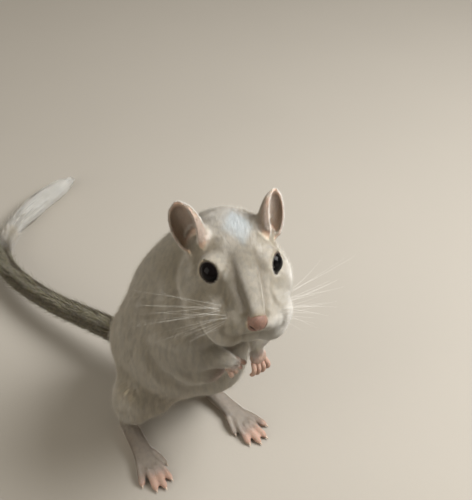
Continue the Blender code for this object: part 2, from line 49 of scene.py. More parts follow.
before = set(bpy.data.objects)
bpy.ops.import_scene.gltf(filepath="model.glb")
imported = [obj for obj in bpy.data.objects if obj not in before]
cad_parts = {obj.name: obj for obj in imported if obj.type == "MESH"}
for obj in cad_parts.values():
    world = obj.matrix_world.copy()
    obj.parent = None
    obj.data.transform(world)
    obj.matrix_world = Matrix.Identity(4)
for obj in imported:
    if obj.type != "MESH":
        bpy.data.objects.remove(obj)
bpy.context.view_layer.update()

MM = 0.001
SIDES = {"right": -1, "left": 1}
HEAD = Vector((7.9, -18.5, 87.7))
HEAD_YAW, HEAD_PITCH, HEAD_ROLL = -23, 4, 4
HEAD_TURN = (
    Matrix.Rotation(math.radians(HEAD_YAW), 3, "Z")
    @ Matrix.Rotation(math.radians(HEAD_PITCH), 3, "X")
    @ Matrix.Rotation(math.radians(HEAD_ROLL), 3, "Y")
)


def box_middle(node):
    low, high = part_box(node)
    return (low + high) / 2


EYE_MIDDLE = {side: box_middle("eye_" + side) for side in SIDES}
ORIGIN = (EYE_MIDDLE["left"] + EYE_MIDDLE["right"]) / 2 - HEAD * MM
EYE_RADIUS = (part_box("eye_left")[1].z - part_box("eye_left")[0].z) / 2

# On the head's own axes: to the left, back and up, in millimetres
NOSE_TIP = Vector((0, -18.6, -4.4))
NOSE_PAD = Vector((0, -17.8, -3.8))
NOSE_MIDDLE = Vector((0, -16.6, -3.8))
NOSE_RADII = Vector((2.8, 2.9, 2.95))
EYE_PLACE = {side: Vector((sign * 8.2, -0.7, 0.3)) for side, sign in SIDES.items()}
EYE_WAY = {side: Vector((sign * 0.76, -0.58, 0.3)).normalized() for side, sign in SIDES.items()}

# In the animal's own millimetres
SHOULDER = {"right": Vector((1.5, -2, 63)), "left": Vector((21, -8.5, 65))}
ELBOW = {"right": Vector((-3, -12, 55)), "left": Vector((22.5, -16, 57))}
WRIST = {"right": Vector((2.5, -20, 54)), "left": Vector((11, -22, 56))}
FINGERTIPS = {"right": Vector((7, -19.6, 46)), "left": Vector((10.6, -25, 46))}
HEEL = {"right": Vector((-13.8, 15.9, 0)), "left": Vector((16.5, 11.3, 0))}
TOES = {"right": Vector((-19.4, -12.4, 0)), "left": Vector((18.8, -19.6, 0))}
# The middle of the tail and its radius, from its root to its tip
TAIL = (
    (4, 37, 14, 4.2),
    (1.5, 43, 14, 3.5),
    (-3.3, 58, 12.5, 3.2),
    (-7.7, 73, 10.5, 3.0),
    (-10.7, 90, 8.5, 2.8),
    (-10.9, 106, 6.8, 2.6),
    (-6.1, 118.5, 5.4, 2.4),
    (6, 129, 4.4, 2.1),
    (20.3, 136.4, 3.4, 1.7),
    (33, 140.8, 2.6, 1.0),
)

REGIONS = ("head", "neck", "torso", "haunch", "foreleg", "forepaw", "hindfoot", "ear", "tail", "tuft")
PAIRED = ("haunch", "foreleg", "forepaw", "hindfoot", "ear")
NODE_REGIONS = {
    **{name: name for name in ("head", "neck", "torso")},
    **{"tail_" + stretch: "tail" for stretch in ("base", "middle", "bend")},
    **{f"{kind}_{side}": kind for side in SIDES for kind in PAIRED},
}

# The camera, in the animal's own millimetres, and its focal length in the photograph's pixels
CAMERA_PLACE = Vector((-112.804, -170.720, 268.269))
CAMERA_TARGET = Vector((45.5, 31.9, 36.75))
FOCAL_PIXELS = 980
LONG_SIDE_PIXELS = 500
SENSOR = 36


def in_frame(point):
    """A point of the animal's own millimetres, in the frame."""
    return ORIGIN + Vector(point) * MM


def on_head(point):
    """A point of the head's own axes, in the frame."""
    return in_frame(HEAD + HEAD_TURN @ Vector(point))


def animal_of(points):
    """Frame points, as an array, in the animal's own millimetres."""
    return (points - np.array(ORIGIN)) / MM


def head_of(points):
    """Frame points, as an array, in the head's own axes."""
    return (animal_of(points) - np.array(HEAD)) @ np.array(HEAD_TURN)


def smooth_step(low, high, values):
    t = np.clip((values - low) / (high - low), 0, 1)
    return t * t * (3 - 2 * t)


def away_from(points, place):
    return np.linalg.norm(points - np.array(place), axis=1)


def unit(vectors):
    return vectors / np.maximum(np.linalg.norm(vectors, axis=-1, keepdims=True), 1e-12)


def between(rows, steps):
    """The rows with further ones between them, on a Catmull-Rom curve."""
    found = []
    last = len(rows) - 1
    for index in range(last):
        a, b, c, d = (np.array(rows[min(max(index + k, 0), last)], float) for k in (-1, 0, 1, 2))
        for step in range(steps):
            t = step / steps
            found.append(b + 0.5 * t * (c - a + t * (2 * a - 5 * b + 4 * c - d + t * (3 * (b - c) + d - a))))
    found.append(np.array(rows[last], float))
    return found


TAIL_LINE = np.array(between(TAIL, 8))
# Where the tuft starts, as a share of the tail
TAIL_TIP_START = 0.74


class CoatSettings(bpy.types.PropertyGroup):
    """The coat's sizes."""

    body_length: FloatProperty(
        name="Body length", description="Hair on the body", default=6 * MM, unit="LENGTH"
    )
    head_length: FloatProperty(
        name="Head length", description="Hair behind the eyes", default=4.2 * MM, unit="LENGTH"
    )
    face_length: FloatProperty(
        name="Face length", description="Hair by the nose", default=1.1 * MM, unit="LENGTH"
    )
    limb_length: FloatProperty(
        name="Limb length", description="Hair on the forelegs", default=4 * MM, unit="LENGTH"
    )
    paw_length: FloatProperty(
        name="Paw length", description="Down on the paws", default=1.3 * MM, unit="LENGTH"
    )
    ear_length: FloatProperty(
        name="Ear length", description="Down on the ears", default=1.2 * MM, unit="LENGTH"
    )
    tail_length: FloatProperty(
        name="Tail length", description="Hair on the tail", default=4 * MM, unit="LENGTH"
    )
    tuft_length: FloatProperty(
        name="Tuft length", description="Hair of the tail's tuft", default=15 * MM, unit="LENGTH"
    )
    width: FloatProperty(name="Width", description="Width of a body lock", default=0.27 * MM, unit="LENGTH")
    depth: FloatProperty(
        name="Depth", description="From the body's skin to the tips", default=1.0 * MM, unit="LENGTH"
    )
    count: IntProperty(name="Count", description="Locks in the whole coat", default=134000, min=1000)
    seed: IntProperty(name="Seed", description="Where the random draws start", default=11)


class SkinSettings(bpy.types.PropertyGroup):
    """The skin's sizes."""

    voxel: FloatProperty(
        name="Grain", description="Size of the skin's finest form", default=0.36 * MM, unit="LENGTH"
    )
    swell: FloatProperty(
        name="Swell", description="How far each part grows to meet the next", default=0.22 * MM, unit="LENGTH"
    )
    triangles: IntProperty(name="Triangles", description="Most triangles that the skin keeps", default=188000)


class Colours(bpy.types.PropertyGroup):
    """The finishes' colours."""

    cream: FloatVectorProperty(
        name="Cream", description="Coat", default=(0.745, 0.65, 0.485), subtype="COLOR", size=3
    )
    pale: FloatVectorProperty(
        name="Pale", description="Chin, cheeks and spot", default=(0.88, 0.835, 0.74), subtype="COLOR", size=3
    )
    # Colour at the locks' roots, mixed in as painted shade at the roots, on the skin under the coat and in the
    # folds beside the nose
    root: FloatVectorProperty(
        name="Root", description="Coat at its roots", default=(0.46, 0.38, 0.275), subtype="COLOR", size=3
    )
    tail: FloatVectorProperty(
        name="Tail", description="Tail's fur", default=(0.055, 0.037, 0.02), subtype="COLOR", size=3
    )
    paw: FloatVectorProperty(
        name="Paw", description="Bare skin of the paws", default=(0.47, 0.315, 0.25), subtype="COLOR", size=3
    )
    ear: FloatVectorProperty(
        name="Ear", description="Skin of the ears", default=(0.51, 0.36, 0.28), subtype="COLOR", size=3
    )
    nose: FloatVectorProperty(
        name="Nose", description="Nose pad", default=(0.21, 0.12, 0.09), subtype="COLOR", size=3
    )
    horn: FloatVectorProperty(
        name="Horn", description="Claws", default=(0.5, 0.4, 0.32), subtype="COLOR", size=3
    )
    floor: FloatVectorProperty(
        name="Floor", description="Floor", default=(0.42, 0.395, 0.355), subtype="COLOR", size=3
    )


class Value:
    """One number in a material. Arithmetic on it adds the Math nodes that work it out."""

    def __init__(self, finish, socket):
        self.finish = finish
        self.socket = socket

    def math(self, operation, *others):
        return self.finish.node("ShaderNodeMath", {"operation": operation}, self, *others)

    def __add__(self, other):
        return self.math("ADD", other)

    __radd__ = __add__

    def __sub__(self, other):
        return self.math("SUBTRACT", other)

    def __rsub__(self, other):
        return self.finish.node("ShaderNodeMath", {"operation": "SUBTRACT"}, other, self)

    def __mul__(self, other):
        return self.math("MULTIPLY", other)

    __rmul__ = __mul__

    def step(self, low, high):
        """0 up to low, 1 from high, and smooth between them."""
        return self.finish.node("ShaderNodeMapRange", {"interpolation_type": "SMOOTHSTEP"}, self, low, high)


def scaled(colour, factor):
    return tuple(channel * factor for channel in colour)


class Finish:
    """A material, its Principled shader, and short ways to add nodes."""

    def __init__(self, name, **constants):
        self.material = bpy.data.materials.new(name)
        self.material.use_nodes = True
        self.tree = self.material.node_tree
        self.shader = self.tree.nodes["Principled BSDF"]
        self.set(**constants)
        self.place = self.node("ShaderNodeTexCoord", {}, output="Object")

    def node(self, kind, settings, *values, output=0, **named):
        """A node of this kind: its settings first, then the values or links of its sockets."""
        made = self.tree.nodes.new(kind)
        for key, value in settings.items():
            setattr(made, key, value)
        for key, value in (*enumerate(values), *named.items()):
            self.feed(made.inputs[key], value)
        return Value(self, made.outputs[output])

    def feed(self, socket, value):
        if isinstance(value, Value):
            self.tree.links.new(value.socket, socket)
        elif socket.type == "RGBA":
            socket.default_value = (*value[:3], 1)
        else:
            socket.default_value = value

    def set(self, **values):
        """Values or links of the shader's own sockets, with _ for a space in their names."""
        for key, value in values.items():
            self.feed(self.shader.inputs[key.replace("_", " ")], value)

    def attribute(self, name):
        return self.node("ShaderNodeAttribute", {"attribute_name": name}, output="Fac")

    def mix(self, share, first, second):
        """One colour into another."""
        made = self.tree.nodes.new("ShaderNodeMix")
        made.data_type = "RGBA"
        for socket, value in zip((made.inputs[0], made.inputs[6], made.inputs[7]), (share, first, second)):
            self.feed(socket, value)
        return Value(self, made.outputs[2])

    def dappled(self, noise, low, high, share, colour, factor):
        """The colour, and this many times it where the noise is high."""
        return self.mix(noise.step(low, high) * share, colour, scaled(colour, factor))

    def noise(self, scale, detail=3, stretch=(1, 1, 1)):
        """Noise with this many features a metre."""
        place = self.node("ShaderNodeMapping", {}, Vector=self.place, Scale=stretch)
        return self.node("ShaderNodeTexNoise", {}, Vector=place, Scale=scale, Detail=detail)

    def cells(self, scale, edge):
        """0 on the edges of small cells, this many a metre, and 1 inside them."""
        settings = {"feature": "DISTANCE_TO_EDGE"}
        return self.node("ShaderNodeTexVoronoi", settings, Vector=self.place, Scale=scale).step(0, edge)

    def bump(self, height, distance, strength):
        """Raises the surface by this height, in metres at a height of 1."""
        self.set(Normal=self.node("ShaderNodeBump", {}, Height=height, Distance=distance, Strength=strength))


# The spot's own white, tinted blue and brightened as painted sky light
SPOT_WHITE_AND_SKYLIGHT = (0.86, 0.96, 1.0)
TIP_WHITE = (0.95, 0.93, 0.88)
# Black of the lids' rims, also laid along the mouth's crease as painted shade
LID_BLACK_AND_MOUTH_SHADE = (0.03, 0.02, 0.018)
# Painted shade in the nostrils' hollows
NOSTRIL_SHADE = (0.03, 0.014, 0.012)


def pelt_colour(finish, colours):
    """The markings that skin and coat share: cream, paler below and on the spot, dark on the tail. Painted
    light makes the left cheek and crown paler and tints the spot blue; painted shade darkens the folds beside
    the nose.
    """
    cream = finish.dappled(finish.noise(160), 0.3, 0.7, 0.5, colours.cream, 0.84)
    streak = finish.noise(650, 3, (1, 1, 0.3))
    cream = finish.mix(streak.step(0.4, 0.65) * 0.75, cream, scaled(colours.cream, 0.74))
    # Paler fur below and on the tuft; the left cheek's and the crown's paleness is painted light
    pelt = finish.mix(finish.attribute("pale"), cream, colours.pale)
    dark = finish.dappled(finish.noise(900, 2), 0.35, 0.75, 0.5, colours.tail, 3.2)
    pelt = finish.mix(finish.attribute("dark"), pelt, dark)
    # Painted shade: darker toward the roots' colour in the folds beside the nose's bridge
    pelt = finish.mix(finish.attribute("groove") * 0.9, pelt, colours.root)
    pelt = finish.mix(finish.attribute("spot"), pelt, SPOT_WHITE_AND_SKYLIGHT)
    down = finish.mix(0.8, colours.pale, colours.paw)
    pelt = finish.mix(finish.attribute("bare") * 0.9, pelt, down)
    return finish.mix(finish.attribute("ear") * 0.55, pelt, scaled(colours.ear, 1.6))


def coat_finish(colours):
    finish = Finish("Coat", Roughness=0.78, Sheen_Weight=0.08, Sheen_Roughness=0.5, Specular_IOR_Level=0.15)
    finish.set(Subsurface_Weight=0.6, Subsurface_Scale=1.1 * MM, Subsurface_Radius=(1, 0.85, 0.7))
    pelt = pelt_colour(finish, colours)
    shade = finish.attribute("shade")
    dark = finish.attribute("dark") * 0.9
    # Painted shade toward each lock's root, with each lock's own random tone
    root_shaded = finish.mix((1 - shade) * 0.3, pelt, colours.root)
    root_shaded = finish.mix(dark, root_shaded, pelt)
    tipped = finish.mix((shade - 0.75).step(0, 0.3) * 0.2, root_shaded, TIP_WHITE)
    finish.set(Base_Color=finish.mix(dark, tipped, root_shaded))
    return finish.material


def skin_finish(colours):
    finish = Finish("Skin", Specular_IOR_Level=0.35, Subsurface_Weight=0.12, Subsurface_Scale=0.6 * MM)
    # Painted shade: the skin under the coat is mixed 0.3 of the way to the roots' colour
    colour = finish.mix(0.3, pelt_colour(finish, colours), colours.root)
    blotch = finish.noise(420)
    for name, over in (
        ("bare", finish.dappled(blotch, 0.3, 0.75, 0.5, colours.paw, 0.78)),
        ("ear", finish.dappled(blotch, 0.35, 0.7, 0.5, colours.ear, 1.35)),
        ("nose", finish.dappled(finish.noise(1500, 2), 0.35, 0.7, 1, colours.nose, 1.4)),
        ("rim", LID_BLACK_AND_MOUTH_SHADE),
    ):
        colour = finish.mix(finish.attribute(name), colour, over)
    finish.set(Base_Color=colour, Roughness=0.62 - finish.attribute("nose") * 0.2)
    wrinkles = finish.noise(2600) * 0.5 + finish.cells(2200, 0.25)
    finish.bump(wrinkles * (1 - finish.attribute("ear") * 0.75), 0.06 * MM, 0.8)
    return finish.material


def eye_finish():
    finish = Finish("Eye", Roughness=0.1, Specular_IOR_Level=0.1)
    cloud = finish.noise(300, 2).step(0.3, 0.7)
    finish.set(Base_Color=finish.mix(cloud, (0.002, 0.0018, 0.0022), (0.006, 0.004, 0.004)))
    return finish.material


def nose_finish(colours):
    finish = Finish("Nose", Roughness=0.42, Specular_IOR_Level=0.45)
    finish.set(Subsurface_Weight=0.15, Subsurface_Scale=0.5 * MM)
    pad = finish.dappled(finish.noise(1100, 2), 0.3, 0.75, 1, colours.nose, 1.35)
    # The nostrils darkened with painted shade
    finish.set(Base_Color=finish.mix(finish.attribute("rim"), pad, NOSTRIL_SHADE))
    finish.bump(finish.cells(3600, 0.3), 0.05 * MM, 0.7)
    return finish.material


def horn_finish(colours):
    finish = Finish("Horn", Roughness=0.4, Specular_IOR_Level=0.5)
    streak = finish.noise(1800, 2, (1, 0.4, 1))
    finish.set(Base_Color=finish.dappled(streak, 0.3, 0.7, 0.6, colours.horn, 1.5))
    return finish.material


def whisker_finish():
    finish = Finish("Whisker", Roughness=0.35, Specular_IOR_Level=0.5)
    band = finish.noise(200, 1).step(0.3, 0.7)
    finish.set(Base_Color=finish.mix(band, (0.92, 0.91, 0.88), (0.75, 0.73, 0.69)))
    return finish.material


def floor_finish(colours):
    finish = Finish("Floor", Roughness=0.85, Specular_IOR_Level=0.2)
    finish.set(Base_Color=finish.dappled(finish.noise(9, 4), 0.3, 0.7, 0.5, colours.floor, 0.95))
    finish.bump(finish.noise(1400), 0.05 * MM, 0.5)
    return finish.material


def add_object(name, mesh):
    made = bpy.data.objects.new(name, mesh)
    bpy.context.scene.collection.objects.link(made)
    return made


def apply_modifiers(obj):
    """The object's mesh becomes what its modifiers make of it."""
    graph = bpy.context.evaluated_depsgraph_get()
    made = bpy.data.meshes.new_from_object(obj.evaluated_get(graph))
    obj.modifiers.clear()
    obj.data = made


def part_of_object(obj, slot, *nodes):
    """The piece rides on the body and stands for these nodes, whose solids it hides. Its slot is not used."""
    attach(obj, "root")
    if nodes:
        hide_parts(*nodes)


def mark(mesh, values):
    """The named values of each point, for the materials."""
    for name, numbers in values.items():
        made = mesh.attributes.new(name, "FLOAT", "POINT")
        made.data.foreach_set("value", np.ascontiguousarray(numbers, np.float32).ravel())


def mesh_of(bm, name, material):
    mesh = bpy.data.meshes.new(name)
    bm.to_mesh(mesh)
    bm.free()
    mesh.materials.append(material)
    return mesh


def add_piece(bm, name, material, slot, *nodes, **marks):
    """The bmesh as a smooth piece with its material, its marks and the nodes that it stands for. Its slot is
    not used.
    """
    bmesh.ops.recalc_face_normals(bm, faces=bm.faces)
    mesh = mesh_of(bm, name, material)
    mark(mesh, marks)
    mesh.shade_smooth()
    part_of_object(add_object(name, mesh), slot, *nodes)


def tube(bm, points, radii, sides, left, looped=False):
    """A tube of rings bridged along the points of the frame, capped at its ends or led back to its start."""
    rings = []
    last = len(points) - 1
    for index, point in enumerate(points):
        after = (index + 1) % len(points) if looped else min(index + 1, last)
        before = index - 1 if looped else max(index - 1, 0)
        z = (points[after] - points[before]).normalized()
        x = (left - left.dot(z) * z).normalized()
        place = Matrix.Translation(point) @ Matrix((x, z.cross(x), z)).transposed().to_4x4()
        ring = bmesh.ops.create_circle(bm, segments=sides, radius=radii[index], matrix=place, cap_ends=False)
        rings.append(ring["verts"])
    edges = [{edge for vert in ring for edge in vert.link_edges} for ring in rings]
    for lower, upper in zip(edges, edges[1:] + edges[:1] * looped):
        bmesh.ops.bridge_loops(bm, edges=list(lower | upper))
    for ring in () if looped else (rings[0], rings[-1]):
        bmesh.ops.contextual_create(bm, geom=ring)


def read(items, name, width, kind=float):
    """One property of all the items, as rows of this width."""
    found = np.empty(len(items) * width, kind)
    items.foreach_get(name, found)
    return found.reshape(-1, width)


class Pelt:
    """The skin as arrays: its points, triangles, edges, normals and each point's region."""

    def __init__(self, mesh):
        mesh.calc_loop_triangles()
        self.points = read(mesh.vertices, "co", 3)
        self.triangles = read(mesh.loop_triangles, "vertices", 3, np.int32)
        self.edges = read(mesh.edges, "vertices", 2, np.int32)
        self.neighbours = np.bincount(self.edges.ravel(), minlength=len(self.points))
        self.find_normals()
        self.label()

    def find_normals(self):
        a, b, c = (self.points[self.triangles[:, k]] for k in range(3))
        across = np.cross(b - a, c - a)
        self.areas = np.linalg.norm(across, axis=1) / 2
        summed = [
            sum(np.bincount(self.triangles[:, k], across[:, axis], len(self.points)) for k in range(3))
            for axis in range(3)
        ]
        self.normals = unit(np.array(summed).T)

    def relaxed(self, values, rounds, share=0.5):
        """The values, each drawn a share of the way to the mean of its neighbours, that many times over."""
        flat = values.reshape(len(values), -1).astype(float)
        share = np.broadcast_to(np.asarray(share, float).reshape(-1, 1), (len(values), 1))
        count = len(flat)
        first, second = self.edges.T
        for _ in range(rounds):
            for axis in range(flat.shape[1]):
                column = flat[:, axis]
                total = np.bincount(first, column[second], count) + np.bincount(second, column[first], count)
                column += share[:, 0] * (total / self.neighbours - column)
        return flat.reshape(values.shape)

    def label(self):
        """Each point's region: the nearest solid's, apart from the tuft and the fuller cheeks and thigh."""
        corners, faces, owners = [], [], []
        for node, region in NODE_REGIONS.items():
            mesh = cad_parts[node].data
            start = len(corners)
            corners += [vert.co.copy() for vert in mesh.vertices]
            faces += [[start + k for k in face.vertices] for face in mesh.polygons]
            owners += [REGIONS.index(region)] * len(mesh.polygons)
        tree = BVHTree.FromPolygons(corners, faces)
        owners = np.array(owners)
        nearest = [tree.find_nearest(Vector(point))[2] for point in self.points]
        self.region = owners[nearest]
        head = head_of(self.points)
        body = animal_of(self.points)
        self.region[(self.tail_share(body) > TAIL_TIP_START) & (body[:, 1] > 100)] = REGIONS.index("tuft")
        for middle, radii in CHEEKS:
            for sign in SIDES.values():
                away = np.linalg.norm((head - np.array(middle) * (sign, 1, 1)) / radii, axis=1)
                self.region[away < CHEEK_EDGE] = REGIONS.index("head")
        away = (body - np.array(THIGH_FILL[0])) / THIGH_FILL[1]
        on_thigh = (np.linalg.norm(away, axis=1) < THIGH_EDGE) & (away[:, 2] > -0.2)
        self.region[on_thigh] = REGIONS.index("haunch")

    def tail_share(self, points):
        """How far along the tail the nearest place of its line is, from 0 to 1."""
        return nearest_on_tail(points) / (len(TAIL_LINE) - 1)

    def is_region(self, *names):
        return np.isin(self.region, [REGIONS.index(name) for name in names])


def nearest_on_tail(points):
    found = np.zeros(len(points), int)
    best = np.full(len(points), np.inf)
    for index, row in enumerate(TAIL_LINE):
        apart = ((points - row[:3]) ** 2).sum(1)
        closer = apart < best
        best[closer] = apart[closer]
        found[closer] = index
    return found


def ball(middle, radii):
    return Vector(middle), Vector(radii)


# Fuller forms than the solids'. First on the head's axes, with the cheeks and the ruff on both sides
CHEEKS = (
    ball((7.2, -8, -9.6), (6.2, 7.2, 6.4)),
    ball((4.9, -12, -7.8), (4.3, 4.6, 4.3)),
    ball((6, -9, -12), (6.3, 7.2, 6.2)),
)
RUFF = ball((8.2, 1, -15.5), (6.8, 8.8, 7.4))
THROAT = (
    ball((0, 1, -15), (7.5, 8.6, 7.4)),
    ball((0, -8.5, -12.4), (6, 7, 5.4)),
)
# Then in the animal's millimetres
BODY_FILLS = (
    ball((-2, -9, 55), (9, 8, 11)),
    ball((2, -10, 67), (9, 8, 8)),
    ball((13, -12, 68), (9, 8, 8)),
    ball((0, -8, 47), (10, 9, 9)),
    ball((-3.5, -2, 52), (8.5, 9, 14)),
)
THIGH_FILL = ball((-12.6, 12, 17.5), (6.9, 8.2, 9.6))
# How far out the cheeks' and the thigh's own fur reaches, in their radii
CHEEK_EDGE = 1.1
THIGH_EDGE = 1.15


def blob(bm, turn, middle, radii):
    place = Matrix.Translation(middle) @ turn.to_4x4() @ Matrix.Diagonal((*(radii * MM), 1))
    bmesh.ops.create_icosphere(bm, subdivisions=4, radius=1, matrix=place)


def paw_turn(side):
    """The forepaw's own axes: across, to the back of the hand and along the fingers."""
    z = (FINGERTIPS[side] - WRIST[side]).normalized()
    x = (Vector((1, 0, 0)) - z.x * z).normalized()
    return Matrix((x, z.cross(x), z)).transposed()


FINGER_REACH = 5.2
WRIST_RADII = Vector((2.2, 2.1, 2.4))
PALM_RADII = Vector((2.9, 1.75, 2.7))


def fingers_start(side):
    """How far past the wrist the fingers start."""
    return (FINGERTIPS[side] - WRIST[side]).length - FINGER_REACH


def skin_cage(settings):
    """Merged copies of the flesh's solids, swollen so that they meet, in one mesh with the fuller forms."""
    bm = bmesh.new()
    for middle, radii in (*CHEEKS, RUFF):
        for sign in SIDES.values():
            blob(bm, HEAD_TURN, on_head((middle.x * sign, middle.y, middle.z)), radii)
    for middle, radii in THROAT:
        blob(bm, HEAD_TURN, on_head(middle), radii)
    for middle, radii in (*BODY_FILLS, THIGH_FILL):
        blob(bm, Matrix.Identity(3), in_frame(middle), radii)
    for side in SIDES:
        turn = paw_turn(side)
        for along, radii in ((0, WRIST_RADII), (fingers_start(side) * 0.6, PALM_RADII)):
            blob(bm, turn, in_frame(WRIST[side] + turn @ Vector((0, 0, along))), radii)
    for node in NODE_REGIONS:
        if node.startswith("forepaw"):
            continue
        part = bmesh.new()
        part.from_mesh(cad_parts[node].data)
        bmesh.ops.remove_doubles(part, verts=part.verts, dist=0.001 * MM)
        part.normal_update()
        for vert in part.verts:
            vert.co += vert.normal * settings.swell
        merged = bpy.data.meshes.new("Part")
        part.to_mesh(merged)
        part.free()
        bm.from_mesh(merged)
        bpy.data.meshes.remove(merged)
    tip = TAIL_LINE[round(TAIL_TIP_START * (len(TAIL_LINE) - 1)) - 1 :]
    radii = [row[3] * 0.85 * MM for row in tip]
    tube(bm, [in_frame(row[:3]) for row in tip], radii, 12, Vector((1, 0, 0)))
    mesh = bpy.data.meshes.new("Skin")
    bm.to_mesh(mesh)
    bm.free()
    return mesh


# How far from the nose's tip the face's thin coat, fine form and short hair give way to the head's
THIN_COAT_REACH = (4, 24)
FINE_FORM_REACH = (9, 20)
SHORT_HAIR_REACH = (2, 26)
# How far the thin skin of the nose's pad and of the lids reaches, and the short hair by an eye
PAD_SKIN_REACH = 2.9
LID_SKIN_REACH = (3.4, 5.2)
EYE_HAIR_REACH = (3.5, 7.5)


def eye_distance(head):
    return np.minimum(*(away_from(head, place) for place in EYE_PLACE.values()))


def face_share(head):
    """1 on the skin round the nose's pad and on the lids, falling to 0 away from them."""
    near_nose = np.exp(-((away_from(head, NOSE_PAD) / PAD_SKIN_REACH) ** 4))
    return np.maximum(near_nose, 1 - smooth_step(*LID_SKIN_REACH, eye_distance(head)))


def inner_ear(pelt):
    return (pelt.normals @ np.array(HEAD_TURN @ Vector((0, -1, 0)))) > 0.1


# Coats other than the trunk's and the head's: the setting of the length and the share of it, the share of the
# width, how densely the locks grow, and the share of the depth
SHORT_COATS = {
    "foreleg": ("limb_length", 1, 0.85, 1.3, 0.6),
    "forepaw": ("paw_length", 0.7, 0.35, 0.7, 0.12),
    "hindfoot": ("paw_length", 0.85, 0.5, 4.2, 0.12),
    "ear": ("ear_length", 1, 0.45, 2.6, 0.3),
    "tail": ("tail_length", 1, 0.8, 1.6, 0.5),
    "tuft": ("tail_length", 1.5, 0.9, 1.6, 0.5),
    "shank": ("limb_length", 1, 0.85, 1.5, 0.6),
}
SHANK_START = 5.5


def short_coat(pelt, name):
    """The points where this short coat grows. The shank is the upper part of the hind foot."""
    if name == "shank":
        return pelt.is_region("hindfoot") & (animal_of(pelt.points)[:, 2] > SHANK_START)
    return pelt.is_region(name)


def coat_depths(pelt, settings):
    """How deep the skin lies inside the coat's tips, at each point."""
    depth = np.full(len(pelt.points), settings.depth)
    head = head_of(pelt.points)
    on_face = settings.depth * (0.22 + 0.6 * smooth_step(*THIN_COAT_REACH, away_from(head, NOSE_TIP)))
    chosen = pelt.is_region("head")
    depth[chosen] = (on_face * (1 - face_share(head)))[chosen]
    for name, row in SHORT_COATS.items():
        depth[short_coat(pelt, name)] = settings.depth * row[4]
    return pelt.relaxed(depth, 20)


def trunk_share(pelt):
    """1 where the form is broad and may be smoothed, 0 on the face's features, ears and feet."""
    broad = pelt.is_region("neck", "torso", "haunch", "foreleg", "tail").astype(float)
    head = head_of(pelt.points)
    on_head = pelt.is_region("head")
    shank = pelt.is_region("hindfoot")
    broad[shank] = smooth_step(5, 9, animal_of(pelt.points)[:, 2])[shank]
    plain = smooth_step(*FINE_FORM_REACH, away_from(head, NOSE_TIP)) * (1 - face_share(head))
    broad[on_head] = plain[on_head]
    return pelt.relaxed(broad, 12)


# Lines on the head's axes, the same on both sides
GROOVE = ((3.3, 1, 4.6), (3.7, -8, 2.0), (3.3, -13.5, 0), (3.1, -16, -1.5))
MOUTH = ((0, -18.3, -6.4), (0, -16.8, -8.5), (1.7, -15.2, -9.4), (3.3, -12.9, -10.2), (4.6, -10.4, -10.6))


def away_from_line(points, rows):
    """Each point's distance to the nearest stretch of the line, with the head's two sides folded onto one."""
    folded = points * (1, 1, 1)
    folded[:, 0] = np.abs(folded[:, 0])
    best = np.full(len(points), np.inf)
    for start, end in zip(rows, rows[1:]):
        start, along = np.array(start, float), np.array(end, float) - start
        share = np.clip((folded - start) @ along / (along @ along), 0, 1)
        best = np.minimum(best, np.linalg.norm(folded - start - share[:, None] * along, axis=1))
    return best


def groove_share(head):
    """1 in the fold on each side of the nose's bridge, 0 away from it."""
    fade = smooth_step(3, -5, head[:, 1])
    return np.exp(-((away_from_line(head, GROOVE) / 1.5) ** 2)) * fade


def mouth_share(head):
    return np.exp(-((away_from_line(head, MOUTH) / 0.5) ** 2))


def pad_share(head, inner, outer):
    """1 on the skin that the nose's pad covers, 0 from this far outside it."""
    deep = np.array((NOSE_RADII.x, 5, NOSE_RADII.z))
    return 1 - smooth_step(inner, outer, np.linalg.norm((head - np.array(NOSE_MIDDLE)) / deep, axis=1))


def face_folds(head):
    """How much further in the skin lies beside the nose's bridge, along the mouth and under the pad."""
    return (1.5 * groove_share(head) + 0.55 * mouth_share(head) + 1.7 * pad_share(head, 0.7, 1.05)) * MM


# How far from the eye's axis its lids stand open, and how far round them the skin is drawn in
LID_ANGLE = math.radians(60)
LID_BLEND = 2.3


def open_lids(pelt):
    """Brings the skin round each eye to the level of its lids, so that the ball shows out to them."""
    radius = EYE_RADIUS / MM
    reach, level = radius * math.sin(LID_ANGLE), radius * math.cos(LID_ANGLE)
    head = head_of(pelt.points)
    for side in SIDES:
        way = np.array(EYE_WAY[side])
        apart = head - np.array(EYE_PLACE[side])
        height = apart @ way
        out = np.linalg.norm(apart - height[:, None] * way, axis=1)
        near = (1 - smooth_step(reach + 0.4, reach + LID_BLEND, out)) * (height > -radius)
        inside = smooth_step(reach, reach - 0.8, out) * 1.6
        move = (level - inside - height) * near
        pelt.points += move[:, None] * np.array(HEAD_TURN @ EYE_WAY[side]) * MM


def thin_broad_forms(obj, share, triangles):
    """Fewer triangles where the form is broad, until no more than these are left."""
    group = obj.vertex_groups.new(name="Broad")
    for level in range(1, 11):
        chosen = np.nonzero(np.round(share * 10) == level)[0]
        group.add(chosen.tolist(), level / 10, "REPLACE")
    fewer = obj.modifiers.new("Fewer", "DECIMATE")
    fewer.ratio = triangles / (2 * len(obj.data.polygons))
    fewer.vertex_group = group.name
    fewer.vertex_group_factor = 1.0
    apply_modifiers(obj)
    obj.vertex_groups.clear()


# Rounds of smoothing of the whole skin, its broad forms and the thickest of these
FINE_ROUNDS = 4
BROAD_ROUNDS = 50
THICK_ROUNDS = 60


